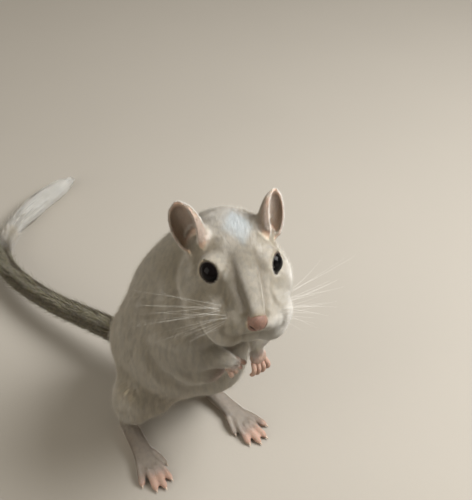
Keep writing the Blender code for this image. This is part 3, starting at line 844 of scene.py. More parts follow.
class GERBIL_OT_skin(bpy.types.Operator):
    """One skin for all the flesh, inside the solids by the coat's depth"""

    bl_idname = "gerbil.skin"
    bl_label = "Skin"

    def execute(self, context):
        settings = context.scene.gerbil_skin
        obj = add_object("skin", skin_cage(settings))
        fuse = obj.modifiers.new("Fuse", "REMESH")
        fuse.mode = "VOXEL"
        fuse.voxel_size = settings.voxel
        apply_modifiers(obj)
        pelt = Pelt(obj.data)
        share = trunk_share(pelt)
        pelt.points = pelt.relaxed(pelt.points, FINE_ROUNDS, 0.15 + 0.35 * share)
        pelt.points = pelt.relaxed(pelt.points, BROAD_ROUNDS, 0.5 * share)
        thick = pelt.is_region("head", "neck", "torso", "haunch") * share
        thick = np.maximum(thick, pelt.is_region("foreleg") & (animal_of(pelt.points)[:, 1] > -13))
        pelt.points = pelt.relaxed(pelt.points, THICK_ROUNDS, 0.5 * pelt.relaxed(thick, 12))
        pelt.find_normals()
        depth = coat_depths(pelt, context.scene.gerbil_coat)
        depth = depth + face_folds(head_of(pelt.points)) * pelt.is_region("head")
        pelt.points -= pelt.normals * depth[:, None]
        open_lids(pelt)
        obj.data.vertices.foreach_set("co", pelt.points.astype(np.float32).ravel())
        obj.data.update()
        thin_broad_forms(obj, share, settings.triangles)
        mark(obj.data, markings(Pelt(obj.data)))
        obj.data.shade_smooth()
        obj.data.materials.append(skin_finish(context.scene.gerbil_colours))
        part_of_object(obj, "cream_fur", *NODE_REGIONS, "tail_tip")
        return {"FINISHED"}


# The plane between the animal's two sides, in its own millimetres
MIDDLE_X = 8
# The pale spot between the ears, to the left and back on the head's axes
SPOT = (0.7, 9.3)
SPOT_REACH = (4.7, 7.1)


def toe_share(body):
    """1 from the toes' middle joints on, 0 by the heel."""
    found = np.zeros(len(body))
    for side, sign in SIDES.items():
        ahead = (TOES[side] - HEEL[side]).normalized()
        along = (body - np.array(HEEL[side])) @ np.array(ahead)
        found = np.where(body[:, 0] * sign > MIDDLE_X * sign, smooth_step(19, 25, along), found)
    return found


def markings(pelt):
    """How much of each marking every point has, from 0 to 1. The left cheek's and crown's paleness is painted
    light; the folds beside the nose and the mouth's crease carry painted shade.
    """
    head = head_of(pelt.points)
    body = animal_of(pelt.points)
    dark = pelt.relaxed(pelt.is_region("tail").astype(float), 6)
    dark *= 1 - smooth_step(TAIL_TIP_START - 0.12, TAIL_TIP_START, pelt.tail_share(body))
    on_head = pelt.is_region("head")
    across = (np.abs(head[:, :2] - SPOT) / SPOT_REACH).sum(1)
    spot = (1 - smooth_step(0.7, 1.15, across)) * on_head * (head[:, 2] > 2)
    # Painted light: paler on the left cheek, the side that the light falls on, and a little on the crown; the
    # paler front is the fur's own colour
    cheeks = smooth_step(-1, -8, head[:, 2]) * smooth_step(16, 6, head[:, 1])
    lit_crown = smooth_step(-2, 4, head[:, 1]) * smooth_step(1, 4, head[:, 2]) * 0.15
    front = smooth_step(2, -10, body[:, 1]) * pelt.is_region("torso", "neck", "foreleg") * 0.2
    cheeks = cheeks * on_head * smooth_step(-6, 6, head[:, 0]) * 0.8
    pale = np.maximum.reduce([lit_crown * on_head, cheeks, front])
    pale = np.maximum(pelt.relaxed(pale, 12), pelt.relaxed(pelt.is_region("tuft").astype(float), 8))
    foot = pelt.is_region("hindfoot") & (body[:, 2] < 5)
    paws = np.where(foot, 0.5 + 0.5 * toe_share(body), pelt.is_region("forepaw"))
    bare = pelt.relaxed(paws, 25)
    inner = inner_ear(pelt)
    ear = np.minimum(1, pelt.relaxed(pelt.is_region("ear").astype(float), 14) * np.where(inner, 1.7, 1))
    ear *= np.where(inner, 0.9, 0.25) + np.where(inner, 0.1, 0.25) * smooth_step(6.5, 10.5, head[:, 2])
    radius = EYE_RADIUS / MM
    lid = 1 - smooth_step(radius + 0.15, radius + 0.7, eye_distance(head))
    return {
        "dark": dark,
        "pale": pale,
        "bare": bare,
        "ear": ear,
        "nose": pad_share(head, 0.95, 1.15) * on_head,
        # The lids' black rims, and painted shade along the mouth's crease at half strength
        "rim": np.maximum(lid, mouth_share(head) * 0.5 * on_head),
        "spot": spot,
        # Painted shade in the folds beside the nose's bridge
        "groove": groove_share(head) * on_head,
    }


def flow_guides(pelt):
    """Which way the hair points: away from the nose, down the back, along limbs and tail."""
    body = animal_of(pelt.points)
    head = head_of(pelt.points)
    way = np.zeros_like(body)
    away = unit(head - np.array(NOSE_TIP) + np.array((0, 0, 1.5)))
    away[:, 1] += 0.5
    away[:, 2] -= 0.25 * smooth_step(-2, -9, head[:, 2])
    chosen = pelt.is_region("head")
    way[chosen] = (unit(away) @ np.array(HEAD_TURN).T)[chosen]
    way[pelt.is_region("neck")] = (-0.15, 0.45, -0.9)
    way[pelt.is_region("haunch")] = (0, 0.3, -0.95)
    low = smooth_step(52, 26, body[:, 2]) * smooth_step(-2, 22, body[:, 1])
    trunk = np.stack([-0.08 * np.ones(len(body)), 0.16 + 0.7 * low, -0.95 + 0.35 * low], axis=1)
    chosen = pelt.is_region("torso")
    way[chosen] = trunk[chosen]
    for side, sign in SIDES.items():
        sided = (body[:, 0] * sign) > (MIDDLE_X * sign)
        foot = TOES[side] - HEEL[side]
        chosen = pelt.is_region("hindfoot") & sided
        shank = smooth_step(4, 8, body[:, 2])[:, None]
        way[chosen] = (np.array(foot.normalized()) * (1 - shank) + np.array((0, 0.5, -1)) * shank)[chosen]
        arm = pelt.is_region("foreleg") & sided
        upper = np.array((ELBOW[side] - SHOULDER[side]).normalized())
        lower = np.array((WRIST[side] - ELBOW[side]).normalized())
        share = smooth_step(-9, -17, body[:, 1])[:, None]
        way[arm] = (upper * (1 - share) + lower * share)[arm]
        chosen = pelt.is_region("forepaw") & sided
        way[chosen] = np.array((FINGERTIPS[side] - WRIST[side]).normalized())
        chosen = pelt.is_region("ear") & ((head[:, 0] * sign) > 0)
        way[chosen] = np.array(HEAD_TURN @ Vector((0.3 * sign, 0.3, 0.9)))
    index = np.clip(nearest_on_tail(body), 1, len(TAIL_LINE) - 2)
    along = TAIL_LINE[index + 1, :3] - TAIL_LINE[index - 1, :3]
    chosen = pelt.is_region("tail", "tuft")
    way[chosen] = unit(along)[chosen]
    way = pelt.relaxed(way, 30)
    way -= (way * pelt.normals).sum(1, keepdims=True) * pelt.normals
    return unit(way)


LEAST_DEPTH = 0.2 * MM
BUSHY_DEPTH = 1.5 * MM


def coat_sizes(pelt, settings):
    """Each point's lock length, lock width, coat depth and how many locks grow there."""
    count = len(pelt.points)
    head = head_of(pelt.points)
    body = animal_of(pelt.points)
    length = np.full(count, settings.body_length)
    growth = np.ones(count)
    width = np.full(count, settings.width)
    chosen = pelt.is_region("head")
    back = smooth_step(*SHORT_HAIR_REACH, away_from(head, NOSE_TIP))
    length[chosen] = (settings.face_length + (settings.head_length - settings.face_length) * back)[chosen]
    width[chosen] = (settings.width * (0.6 + 0.35 * back))[chosen]
    growth[chosen] = (4.2 - 2.4 * back)[chosen]
    for name, (setting, part, share, amount, _) in SHORT_COATS.items():
        chosen = short_coat(pelt, name)
        length[chosen] = getattr(settings, setting) * part
        width[chosen] = settings.width * share
        growth[chosen] = amount
    along = pelt.tail_share(body)
    bushy = 0.6 * smooth_step(0, 0.1, along) + 0.4 * smooth_step(0.3, 0.65, along)
    bushy = bushy * pelt.is_region("tail", "tuft")
    length += settings.tail_length * 0.8 * bushy
    by_tail = away_from(body, TAIL[0][:3])
    length *= np.where(pelt.is_region("torso"), 0.45 + 0.55 * smooth_step(3, 14, by_tail), 1)
    length = pelt.relaxed(length, 20)
    width = pelt.relaxed(width, 12)
    growth = pelt.relaxed(growth, 6)
    by_ear = pelt.relaxed(pelt.is_region("ear").astype(float), 20)
    short = settings.ear_length * (1 + 1.4 * (1 - by_ear))
    length = np.where(by_ear > 0.08, np.minimum(length, short), length)
    growth *= 1 + 3.2 * by_ear * (1 - by_ear)
    bare_face = (1 - pad_share(head, 0.9, 1.1)) * (1 - smooth_step(0.35, 0.8, mouth_share(head)))
    growth *= np.where(pelt.is_region("head"), bare_face, 1)
    radius = EYE_RADIUS / MM
    growth *= smooth_step(radius + 0.12, radius + 0.4, eye_distance(head))
    length *= 0.3 + 0.7 * smooth_step(*EYE_HAIR_REACH, eye_distance(head))
    low = body[:, 2] < 4
    sole = pelt.is_region("hindfoot") & low & ((pelt.normals[:, 2] < -0.1) | (body[:, 2] < 0.9))
    growth[sole] = 0
    growth *= 1 - toe_share(body) * pelt.is_region("hindfoot")
    inner = pelt.is_region("ear") & inner_ear(pelt)
    growth *= 1 - 0.85 * inner * smooth_step(8.5, 12, head[:, 2])
    depth = np.maximum(coat_depths(pelt, settings), LEAST_DEPTH) + BUSHY_DEPTH * bushy
    return length, width, depth, growth


class Roots:
    """Places drawn on the pelt, spread evenly where as much grows."""

    def __init__(self, pelt, growth, count, draw):
        weight = pelt.areas * growth[pelt.triangles].mean(1)
        total = np.cumsum(weight)
        marks = (np.arange(count) + draw.random(count)) / count * total[-1]
        self.face = np.searchsorted(total, marks)
        self.share = draw.dirichlet((1, 1, 1), count)
        self.corners = pelt.triangles[self.face]
        self.points = self.take(pelt.points)
        self.normals = unit(self.take(pelt.normals))

    def take(self, values):
        """The pelt's values at the roots."""
        picked = values[self.corners]
        return (picked * self.share.reshape(self.share.shape + (1,) * (picked.ndim - 2))).sum(1)


# How far locks stray from the flow, in radians, and how much each keeps of its way at a step
STRAY = 0.13
KEPT_WAY = 0.6


def traced(pelt, tree, flow, roots, length, steps, draw):
    """The places over which each lock lies, step by step along the flow, with the skin's normals there."""
    turn = draw.normal(0, STRAY, len(length))[:, None]
    way = unit(roots.take(flow))
    aside = np.cross(roots.normals, way)
    way = unit(way * np.cos(turn) + aside * np.sin(turn))
    places, normals, faces = [roots.points], [roots.normals], [roots.face]
    for _ in range(steps):
        ahead = places[-1] + way * (length / steps)[:, None]
        hits = [tree.find_nearest(Vector(point)) for point in ahead]
        place = np.array([hit[0] for hit in hits])
        corners = pelt.triangles[[hit[2] for hit in hits]]
        normal = unit(pelt.normals[corners].mean(1))
        way = unit(way * KEPT_WAY + flow[corners].mean(1) * (1 - KEPT_WAY))
        way = unit(way - (way * normal).sum(1, keepdims=True) * normal)
        places.append(place)
        normals.append(normal)
        faces.append([hit[2] for hit in hits])
    return places, normals, faces


def at_corners(rows):
    """Values of each lock's rings and tip, at its corners: three to a ring and one at the tip."""
    return np.stack([row for row in rows[:-1] for _ in range(3)] + [rows[-1]], axis=1)


def shades(low, high, rings, tone):
    """How light each lock is at its corners: low at its root, high at its last ring, and 1 at its tip, with
    its own tone added. The darker root is painted shade.
    """
    rise = np.append(np.repeat(np.linspace(low, high, rings), 3), 1.0)
    return np.clip(rise[None, :] + tone[:, None], 0, 1)


def lock_mesh(name, centres, normals, widths, thickness, patches, marks):
    """Closed three-sided locks. centres and normals hold one array a ring, the last of them the tips."""
    count = len(centres[0])
    rings = len(centres) - 1
    corners = []
    for index in range(rings):
        ahead = unit(centres[index + 1] - centres[max(index - 1, 0)])
        side = unit(np.cross(normals[index], ahead))
        wide = widths[index][:, None]
        corners += [
            centres[index] - side * wide,
            centres[index] + side * wide,
            centres[index] + normals[index] * (wide * thickness),
        ]
    corners.append(centres[rings])
    points = np.stack(corners, axis=1)
    per_lock = rings * 3 + 1
    quads = [
        (3 * r + k, 3 * r + (k + 1) % 3, 3 * r + 3 + (k + 1) % 3, 3 * r + 3 + k)
        for r in range(rings - 1)
        for k in range(3)
    ]
    last = 3 * (rings - 1)
    triangles = [(2, 1, 0)] + [(last + k, last + (k + 1) % 3, per_lock - 1) for k in range(3)]
    starts = (np.arange(count) * per_lock)[:, None]
    loops = np.concatenate(
        [np.array(quads, int).reshape(1, -1) + starts, np.array(triangles).reshape(1, -1) + starts], axis=1
    )
    sizes = np.tile([4] * len(quads) + [3] * len(triangles), count)
    mesh = bpy.data.meshes.new(name)
    mesh.vertices.add(count * per_lock)
    mesh.vertices.foreach_set("co", points.astype(np.float32).ravel())
    mesh.loops.add(loops.size)
    mesh.loops.foreach_set("vertex_index", loops.astype(np.int32).ravel())
    mesh.polygons.add(len(sizes))
    mesh.polygons.foreach_set("loop_start", (np.cumsum(sizes) - sizes).astype(np.int32))
    mesh.update(calc_edges=True)
    for key, values in marks.items():
        mark(mesh, {key: values if values.ndim == 2 else np.repeat(values[:, None], per_lock, axis=1)})
    lay_patches(mesh, patches, rings, loops)
    mesh.shade_smooth()
    face_along(mesh, normals, per_lock)
    return mesh


OWN_ROUNDNESS = 0.25


def face_along(mesh, normals, per_lock):
    """Shades each lock mostly as the skin under it, so that the coat reads as one soft surface."""
    own = read(mesh.vertices, "normal", 3).reshape(-1, per_lock, 3)
    faced = unit(at_corners(normals) * (1 - OWN_ROUNDNESS) + own * OWN_ROUNDNESS)
    mesh.normals_split_custom_set_from_vertices(faced.reshape(-1, 3))


PATCH = 0.003
UNWRAP_TRIANGLES = 6000


def lay_patches(mesh, patches, rings, loops):
    """Each lock's patch on the OFBake map, at its root's place on the unwrapped skin."""
    along = np.append(np.repeat(np.arange(rings) / rings, 3), 1.0)
    across = np.append(np.tile((0.0, 1.0, 0.5), rings), 0.5)
    local = np.stack([across, along], axis=1) * PATCH
    places = (patches[:, None, :] + local[None, :, :]).reshape(-1, 2)
    layer = mesh.uv_layers.new(name="OFBake")
    layer.data.foreach_set("uv", places[loops.ravel()].astype(np.float32).ravel())


class Unwrap:
    """The skin's own shape, thinned and unwrapped, to look places up on."""

    def __init__(self, skin):
        thin = add_object("Unwrapped", skin.data.copy())
        fewer = thin.modifiers.new("Fewer", "DECIMATE")
        fewer.ratio = UNWRAP_TRIANGLES / len(skin.data.loop_triangles)
        apply_modifiers(thin)
        bpy.context.view_layer.objects.active = thin
        for obj in bpy.context.selected_objects:
            obj.select_set(False)
        thin.select_set(True)
        bpy.ops.object.mode_set(mode="EDIT")
        bpy.ops.mesh.select_all(action="SELECT")
        bpy.ops.uv.smart_project(angle_limit=math.radians(66), island_margin=0.004)
        bpy.ops.object.mode_set(mode="OBJECT")
        mesh = thin.data
        mesh.calc_loop_triangles()
        self.loops = read(mesh.loop_triangles, "loops", 3, np.int32)
        self.corners = read(mesh.loop_triangles, "vertices", 3, np.int32)
        self.points = read(mesh.vertices, "co", 3)
        self.uv = read(mesh.uv_layers.active.data, "uv", 2)
        self.tree = BVHTree.FromPolygons(self.points.tolist(), self.corners.tolist())
        bpy.data.objects.remove(thin)

    def places(self, points):
        hits = [self.tree.find_nearest(Vector(point)) for point in points]
        faces = np.array([hit[2] for hit in hits])
        near = np.array([hit[0] for hit in hits])
        a, b, c = (self.points[self.corners[faces, k]] for k in range(3))
        across = np.cross(b - a, c - a)
        size = np.maximum((across**2).sum(1), 1e-30)
        u = (np.cross(c - b, near - b) * across).sum(1) / size
        v = (np.cross(a - c, near - c) * across).sum(1) / size
        shares = np.clip(np.stack([u, v, 1 - u - v], axis=1), 0, 1)
        found = (self.uv[self.loops[faces]] * shares[:, :, None]).sum(1)
        return np.clip(found, 0, 1 - PATCH)


class Coat:
    """All that the coat's pieces share: the skin's arrays, the flow, the sizes and the unwrapped skin."""

    def __init__(self, context):
        skin = bpy.data.objects["skin"]
        settings = context.scene.gerbil_coat
        self.pelt = Pelt(skin.data)
        self.flow = flow_guides(self.pelt)
        self.length, self.width, self.depth, self.growth = coat_sizes(self.pelt, settings)
        self.marks = markings(self.pelt)
        self.tree = BVHTree.FromPolygons(self.pelt.points.tolist(), self.pelt.triangles.tolist())
        self.unwrap = Unwrap(skin)
        self.finish = coat_finish(context.scene.gerbil_colours)
        self.whole = (self.pelt.areas * self.growth[self.pelt.triangles].mean(1)).sum()
        self.settings = settings


SHARED = {}


def coat_of(context):
    if "coat" not in SHARED:
        SHARED["coat"] = Coat(context)
    return SHARED["coat"]


# Guard hairs: their share of the locks, and how much higher, thinner and longer than those they are
GUARD_SHARE = 0.14
GUARD_RISE = (1.3, 2.2)
GUARD_WIDTH = 0.6
GUARD_LENGTH = 1.15
# How far locks differ from each other
LENGTH_SPREAD = (0.7, 1.2)
WIDTH_SPREAD = (0.7, 1.3)
DEPTH_SPREAD = (0.75, 1.15)
TONE_SPREAD = 0.25
LOCK_LIFT = 0.05 * MM
LOCK_THICKNESS = 0.32
FLOOR_CLEARANCE = 0.25
COAT_MARKS = ("dark", "pale", "bare", "ear", "spot", "groove")
# By the number of a lock's rings: their heights and the tip's, their widths, the most locks in a piece, and
# how many locks stand for one
RING_HEIGHTS = {3: (-0.25, 0.42, 0.85, 1.0), 1: (-0.3, 1.0)}
RING_WIDTHS = {3: (0.7, 1.0, 0.7), 1: (0.8,)}
MOST_LOCKS = {3: 12000, 1: 48000}
LOCK_SPLIT = {3: 1, 1: 2.4}


def grow_coat(context, name, regions, rings, slot, seed):
    """The locks of these regions, in pieces under the limit of triangles."""
    coat = coat_of(context)
    draw = np.random.default_rng(coat.settings.seed + seed)
    pelt = coat.pelt
    growth = coat.growth * pelt.is_region(*regions)
    amount = (pelt.areas * growth[pelt.triangles].mean(1)).sum()
    count = int(coat.settings.count * LOCK_SPLIT[rings] * amount / coat.whole)
    roots = Roots(pelt, growth, count, draw)
    length = roots.take(coat.length) * draw.uniform(*LENGTH_SPREAD, count)
    width = roots.take(coat.width) * draw.uniform(*WIDTH_SPREAD, count) / 2
    depth = roots.take(coat.depth) * draw.uniform(*DEPTH_SPREAD, count) + LOCK_LIFT
    guard = draw.random(count) < GUARD_SHARE
    depth *= np.where(guard, draw.uniform(*GUARD_RISE, count), 1)
    width *= np.where(guard, GUARD_WIDTH, 1)
    length *= np.where(guard, GUARD_LENGTH, 1)
    places, normals, faces = traced(pelt, coat.tree, coat.flow, roots, length, rings, draw)
    centres = []
    for place, normal, height in zip(places, normals, RING_HEIGHTS[rings]):
        centre = place + normal * (depth * height)[:, None]
        centre[:, 2] = np.maximum(centre[:, 2], ORIGIN.z + FLOOR_CLEARANCE * MM)
        centres.append(centre)
    widths = [width * share for share in RING_WIDTHS[rings]]
    corners = [pelt.triangles[face] for face in faces]
    marks = {key: at_corners([coat.marks[key][rows].mean(1) for rows in corners]) for key in COAT_MARKS}
    # Darker toward each lock's root as painted shade, with each lock's own random tone
    marks["shade"] = shades(0.35, 0.8, rings, draw.uniform(-TONE_SPREAD, TONE_SPREAD, count))
    patches = coat.unwrap.places(roots.points)
    order = np.argsort(roots.points[:, 2])
    pieces = math.ceil(count / MOST_LOCKS[rings])
    for index, part in enumerate(np.array_split(order, pieces)):
        part_name = name if pieces == 1 else f"{name}_{index + 1}"
        chosen = [[rows[part] for rows in group] for group in (centres, normals, widths)]
        part_marks = {key: values[part] for key, values in marks.items()}
        mesh = lock_mesh(part_name, *chosen, LOCK_THICKNESS, patches[part], part_marks)
        mesh.materials.append(coat.finish)
        part_of_object(add_object(part_name, mesh), slot)


class GERBIL_OT_body_coat(bpy.types.Operator):
    """Short dense fur over the trunk, neck and haunches"""

    bl_idname = "gerbil.body_coat"
    bl_label = "Body coat"

    def execute(self, context):
        grow_coat(context, "coat_torso", ("torso",), 1, "cream_fur", 1)
        grow_coat(context, "coat_neck", ("neck",), 1, "cream_fur", 2)
        grow_coat(context, "coat_haunches", ("haunch",), 1, "cream_fur", 3)
        return {"FINISHED"}


class GERBIL_OT_head_coat(bpy.types.Operator):
    """Finer fur over the head, shortest by the nose, and down on the ears"""

    bl_idname = "gerbil.head_coat"
    bl_label = "Head coat"

    def execute(self, context):
        grow_coat(context, "coat_head", ("head",), 1, "cream_fur", 4)
        grow_coat(context, "coat_ears", ("ear",), 1, "ear_skin", 5)
        return {"FINISHED"}


class GERBIL_OT_limb_coat(bpy.types.Operator):
    """Fur of the forelegs and down on the paws"""

    bl_idname = "gerbil.limb_coat"
    bl_label = "Limb coat"

    def execute(self, context):
        grow_coat(context, "coat_forelegs", ("foreleg",), 1, "cream_fur", 6)
        grow_coat(context, "coat_paws", ("forepaw", "hindfoot"), 1, "paw_skin", 7)
        return {"FINISHED"}


class GERBIL_OT_tail_coat(bpy.types.Operator):
    """Dark short fur along the tail and the long pale hair of its tuft"""

    bl_idname = "gerbil.tail_coat"
    bl_label = "Tail coat"

    def execute(self, context):
        grow_coat(context, "coat_tail", ("tail", "tuft"), 3, "tail_fur", 8)
        grow_tuft(context)
        return {"FINISHED"}


TUFT_HAIRS = 2600
TUFT_OVERSHOOT = 9.5
TUFT_RINGS = 6
TUFT_HAIR_WIDTH = 0.17 * MM
TUFT_THICKNESS = 0.8


def grow_tuft(context):
    """Long soft hairs that leave the tail's last stretch on all sides, run along it and close to a point."""
    coat = coat_of(context)
    draw = np.random.default_rng(coat.settings.seed + 9)
    start = TAIL_TIP_START - 0.03
    share = start + (0.99 - start) * draw.random(TUFT_HAIRS) ** 0.8
    turn = draw.uniform(0, 2 * math.pi, TUFT_HAIRS)
    length = coat.settings.tuft_length / MM * draw.uniform(0.55, 1.15, TUFT_HAIRS)
    flare = draw.uniform(0.3, 1.0, TUFT_HAIRS) ** 0.7
    last = len(TAIL_LINE) - 1
    spacing = np.linalg.norm(TAIL_LINE[-1, :3] - TAIL_LINE[-2, :3])
    wave = draw.normal(0, 0.5, (TUFT_HAIRS, 2))
    reach_past = TUFT_OVERSHOOT / spacing * draw.uniform(0.15, 1.05, TUFT_HAIRS)
    centres, normals, widths = [], [], []
    for ring in range(TUFT_RINGS + 1):
        t = ring / TUFT_RINGS
        at = np.minimum(share * last + length * t / spacing, last + reach_past * t)
        low = np.clip(at.astype(int), 0, last - 1)
        step = (at - low)[:, None]
        row = TAIL_LINE[low] + (TAIL_LINE[low + 1] - TAIL_LINE[low]) * step
        along = unit(TAIL_LINE[low + 1, :3] - TAIL_LINE[low, :3])
        side = unit(np.cross((0, 0, 1), along))
        up = np.cross(along, side)
        out = side * np.cos(turn)[:, None] + up * np.sin(turn)[:, None]
        radius = np.maximum(row[:, 3], 0.2) * 0.55
        past = np.clip((at - last) * spacing / TUFT_OVERSHOOT, 0, 1)
        bow = 3.1 * math.sin(math.pi * 0.87 * t) + 0.3 * t
        reach = (1 - 0.75 * past) * radius + (1 - 0.85 * past) * flare * bow
        centre = row[:, :3] + out * reach[:, None]
        centre += (side * wave[:, :1] + up * wave[:, 1:]) * (t * t)
        centre[:, 2] = np.maximum(centre[:, 2], FLOOR_CLEARANCE)
        centres.append(centre * MM + np.array(ORIGIN))
        normals.append(out)
        widths.append(np.full(TUFT_HAIRS, TUFT_HAIR_WIDTH * (1 - 0.55 * t)))
    marks = {key: np.zeros(TUFT_HAIRS) for key in COAT_MARKS}
    marks["dark"] = np.clip((TAIL_TIP_START - share) * 12 + 0.1, 0, 0.5)
    marks["pale"] = np.full(TUFT_HAIRS, 0.85)
    marks["shade"] = shades(0.55, 0.9, TUFT_RINGS, draw.uniform(-0.2, 0.15, TUFT_HAIRS))
    patches = coat.unwrap.places(centres[0])
    mesh = lock_mesh("coat_tuft", centres, normals, widths, TUFT_THICKNESS, patches, marks)
    mesh.materials.append(coat.finish)
    part_of_object(add_object("coat_tuft", mesh), "white_fur")


class GERBIL_OT_eyes(bpy.types.Operator):
    """Black glossy eyes"""

    bl_idname = "gerbil.eyes"
    bl_label = "Eyes"

    def execute(self, context):
        material = eye_finish()
        for side in SIDES:
            bm = bmesh.new()
            place = Matrix.Translation(on_head(EYE_PLACE[side]))
            bmesh.ops.create_icosphere(bm, subdivisions=5, radius=EYE_RADIUS, matrix=place)
            add_piece(bm, "eyeball_" + side, material, "eye", "eye_" + side)
        return {"FINISHED"}


# A lid's rings: how far outside the opening, above its level, thickness, and how dark
LID_RINGS = ((0.02, 0.05, 0.2, 1.0), (0.34, -0.06, 0.22, 0.75))
LID_STEPS = 64


class GERBIL_OT_lids(bpy.types.Operator):
    """A dark lid rim round each eye and the soft fold behind it"""

    bl_idname = "gerbil.lids"
    bl_label = "Lids"

    def execute(self, context):
        radius = EYE_RADIUS / MM
        reach, level = radius * math.sin(LID_ANGLE), radius * math.cos(LID_ANGLE)
        for side in SIDES:
            way = EYE_WAY[side]
            aside = way.orthogonal().normalized()
            bm = bmesh.new()
            rim = []
            for out, above, thick, dark in LID_RINGS:
                points = []
                for step in range(LID_STEPS):
                    turned = Matrix.Rotation(2 * math.pi * step / LID_STEPS, 3, way) @ aside
                    points.append(on_head(EYE_PLACE[side] + way * (level + above) + turned * (reach + out)))
                tube(bm, points, [thick * MM] * len(points), 8, HEAD_TURN @ way, looped=True)
                rim += [dark] * (len(bm.verts) - len(rim))
            material = bpy.data.objects["skin"].data.materials[0]
            add_piece(bm, "lids_" + side, material, "cream_fur", rim=rim)
        return {"FINISHED"}


def step_at(low, high, value):
    return float(smooth_step(low, high, value))


def nose_form(point):
    """A place of the nose's pad for a point of the unit sphere, and how much painted shade darkens its nostril
    there.
    """
    x, z = point.x * NOSE_RADII.x, point.z * NOSE_RADII.z
    front = step_at(0.1, -0.5, point.y)
    groove = 0.4 * math.exp(-((x / 0.28) ** 2)) * (1 / (1 + math.exp((z + 0.3) * 3)))
    level = z + 0.75 - (abs(x) - 1.4) * 0.6
    pit = math.exp(-(((abs(x) - 1.5) / 0.8) ** 2) - (level / 0.5) ** 2) * front
    wing = 0.3 * math.exp(-(((abs(x) - 1.7) / 0.8) ** 2) - ((z + 0.35) / 0.5) ** 2)
    taper = 1 - 0.3 * step_at(0.1, -1, point.z)
    y = point.y * NOSE_RADII.y + front * (groove - wing) + 1.3 * pit
    return on_head(NOSE_MIDDLE + Vector((x * taper, y, z))), step_at(0.2, 0.6, pit)


class GERBIL_OT_nose(bpy.types.Operator):
    """The bare pad of the nose, with its nostrils and the groove down its middle"""

    bl_idname = "gerbil.nose"
    bl_label = "Nose"

    def execute(self, context):
        bm = bmesh.new()
        bmesh.ops.create_icosphere(bm, subdivisions=6, radius=1)
        dark = []
        for vert in bm.verts:
            vert.co, nostril = nose_form(vert.co)
            dark.append(nostril)
        add_piece(bm, "nose", nose_finish(context.scene.gerbil_colours), "paw_skin", rim=dark)
        return {"FINISHED"}


# The toes from the inner side: across and ahead of the heel, spread in degrees, and length
TOE_TABLE = (
    (3.2, 15.5, 22, 5.2),
    (2.6, 19.3, 14, 7.4),
    (0.9, 20.3, 4, 8.4),
    (-1.1, 20.1, -3, 8.1),
    (-3.1, 18.4, -16, 6.5),
)
# Radius at the root, and length
TOE_CLAW = (0.46, 1.9)
FINGER_CLAW = (0.3, 1.3)
CLAW_STEPS = 5


def claw(bm, root, way, down, radius, length):
    """A curved, tapered point, from its root in the animal's millimetres."""
    points, radii = [], []
    for step in range(CLAW_STEPS + 1):
        t = step / CLAW_STEPS
        points.append(in_frame(root + way * length * t + down * (0.45 * t * t * length * 0.5)))
        radii.append(radius * (1 - t) ** 0.7 * MM + 0.02 * MM)
    tube(bm, points, radii, 7, Vector((way.y, -way.x, 0.1)))


def toe_claws(bm, side):
    heel, toes = HEEL[side], TOES[side]
    ahead = toes - heel
    turn = Matrix.Rotation(math.atan2(ahead.x, -ahead.y), 3, "Z")
    inner = -SIDES[side]
    for across, start, spread, length in TOE_TABLE:
        angle = math.radians(spread)
        way = Vector((inner * math.sin(angle), -math.cos(angle), 0))
        root = Vector((inner * across, -start, 1.0)) + way * (length - 0.6)
        claw(bm, heel + turn @ root, turn @ way, Vector((0, 0, -1)), *TOE_CLAW)


# A curled finger's joints: across at the outer finger, to the back of the hand, along, and its radius there
FINGER = (
    (2.0, -0.1, -0.9, 0.72),
    (2.3, 0.5, 0.5, 0.78),
    (2.6, 0.7, 1.7, 0.74),
    (2.8, 0.15, 3.0, 0.64),
    (2.75, -0.85, 3.8, 0.58),
    (2.7, -1.35, 4.0, 0.3),
)


def finger_shares():
    """Each finger's place across the paw, from -1 to 1, and its length, the middle two the longest."""
    for index in range(4):
        share = (index - 1.5) / 1.5
        yield share, 1.08 - 0.16 * abs(share)


def fingers(bm, side):
    """Four short curled fingers."""
    turn = paw_turn(side)
    start = fingers_start(side)
    for share, longer in finger_shares():
        rows = between([(row[0] * share, row[1], start + row[2] * longer, row[3]) for row in FINGER], 4)
        points = [in_frame(WRIST[side] + turn @ Vector(row[:3])) for row in rows]
        tube(bm, points, [row[3] * MM for row in rows], 12, turn @ Vector((1, 0, 0)))


class GERBIL_OT_fingers(bpy.types.Operator):
    """The bare, curled fingers of the forepaws"""

    bl_idname = "gerbil.fingers"
    bl_label = "Fingers"

    def execute(self, context):
        for side in SIDES:
            bm = bmesh.new()
            fingers(bm, side)
            material = bpy.data.objects["skin"].data.materials[0]
            add_piece(bm, "fingers_" + side, material, "paw_skin", bare=np.ones(len(bm.verts)))
        return {"FINISHED"}


def finger_claws(bm, side):
    turn = paw_turn(side)
    way = turn @ Vector((0, -0.75, 0.45)).normalized()
    for share, longer in finger_shares():
        root = Vector((2.72 * share, -1.05, fingers_start(side) + 3.95 * longer))
        claw(bm, WRIST[side] + turn @ root, way, turn @ Vector((0, 0, -1)), *FINGER_CLAW)


class GERBIL_OT_claws(bpy.types.Operator):
    """Small curved claws on the fingers and toes"""

    bl_idname = "gerbil.claws"
    bl_label = "Claws"

    def execute(self, context):
        material = horn_finish(context.scene.gerbil_colours)
        for side in SIDES:
            for name, make in (("toe_claws_", toe_claws), ("finger_claws_", finger_claws)):
                bm = bmesh.new()
                make(bm, side)
                add_piece(bm, name + side, material, "paw_skin")
        return {"FINISHED"}


WHISKER_ROWS = 4
WHISKERS_IN_ROW = 5
WHISKER_RADIUS = 0.032
WHISKER_STEPS = 8


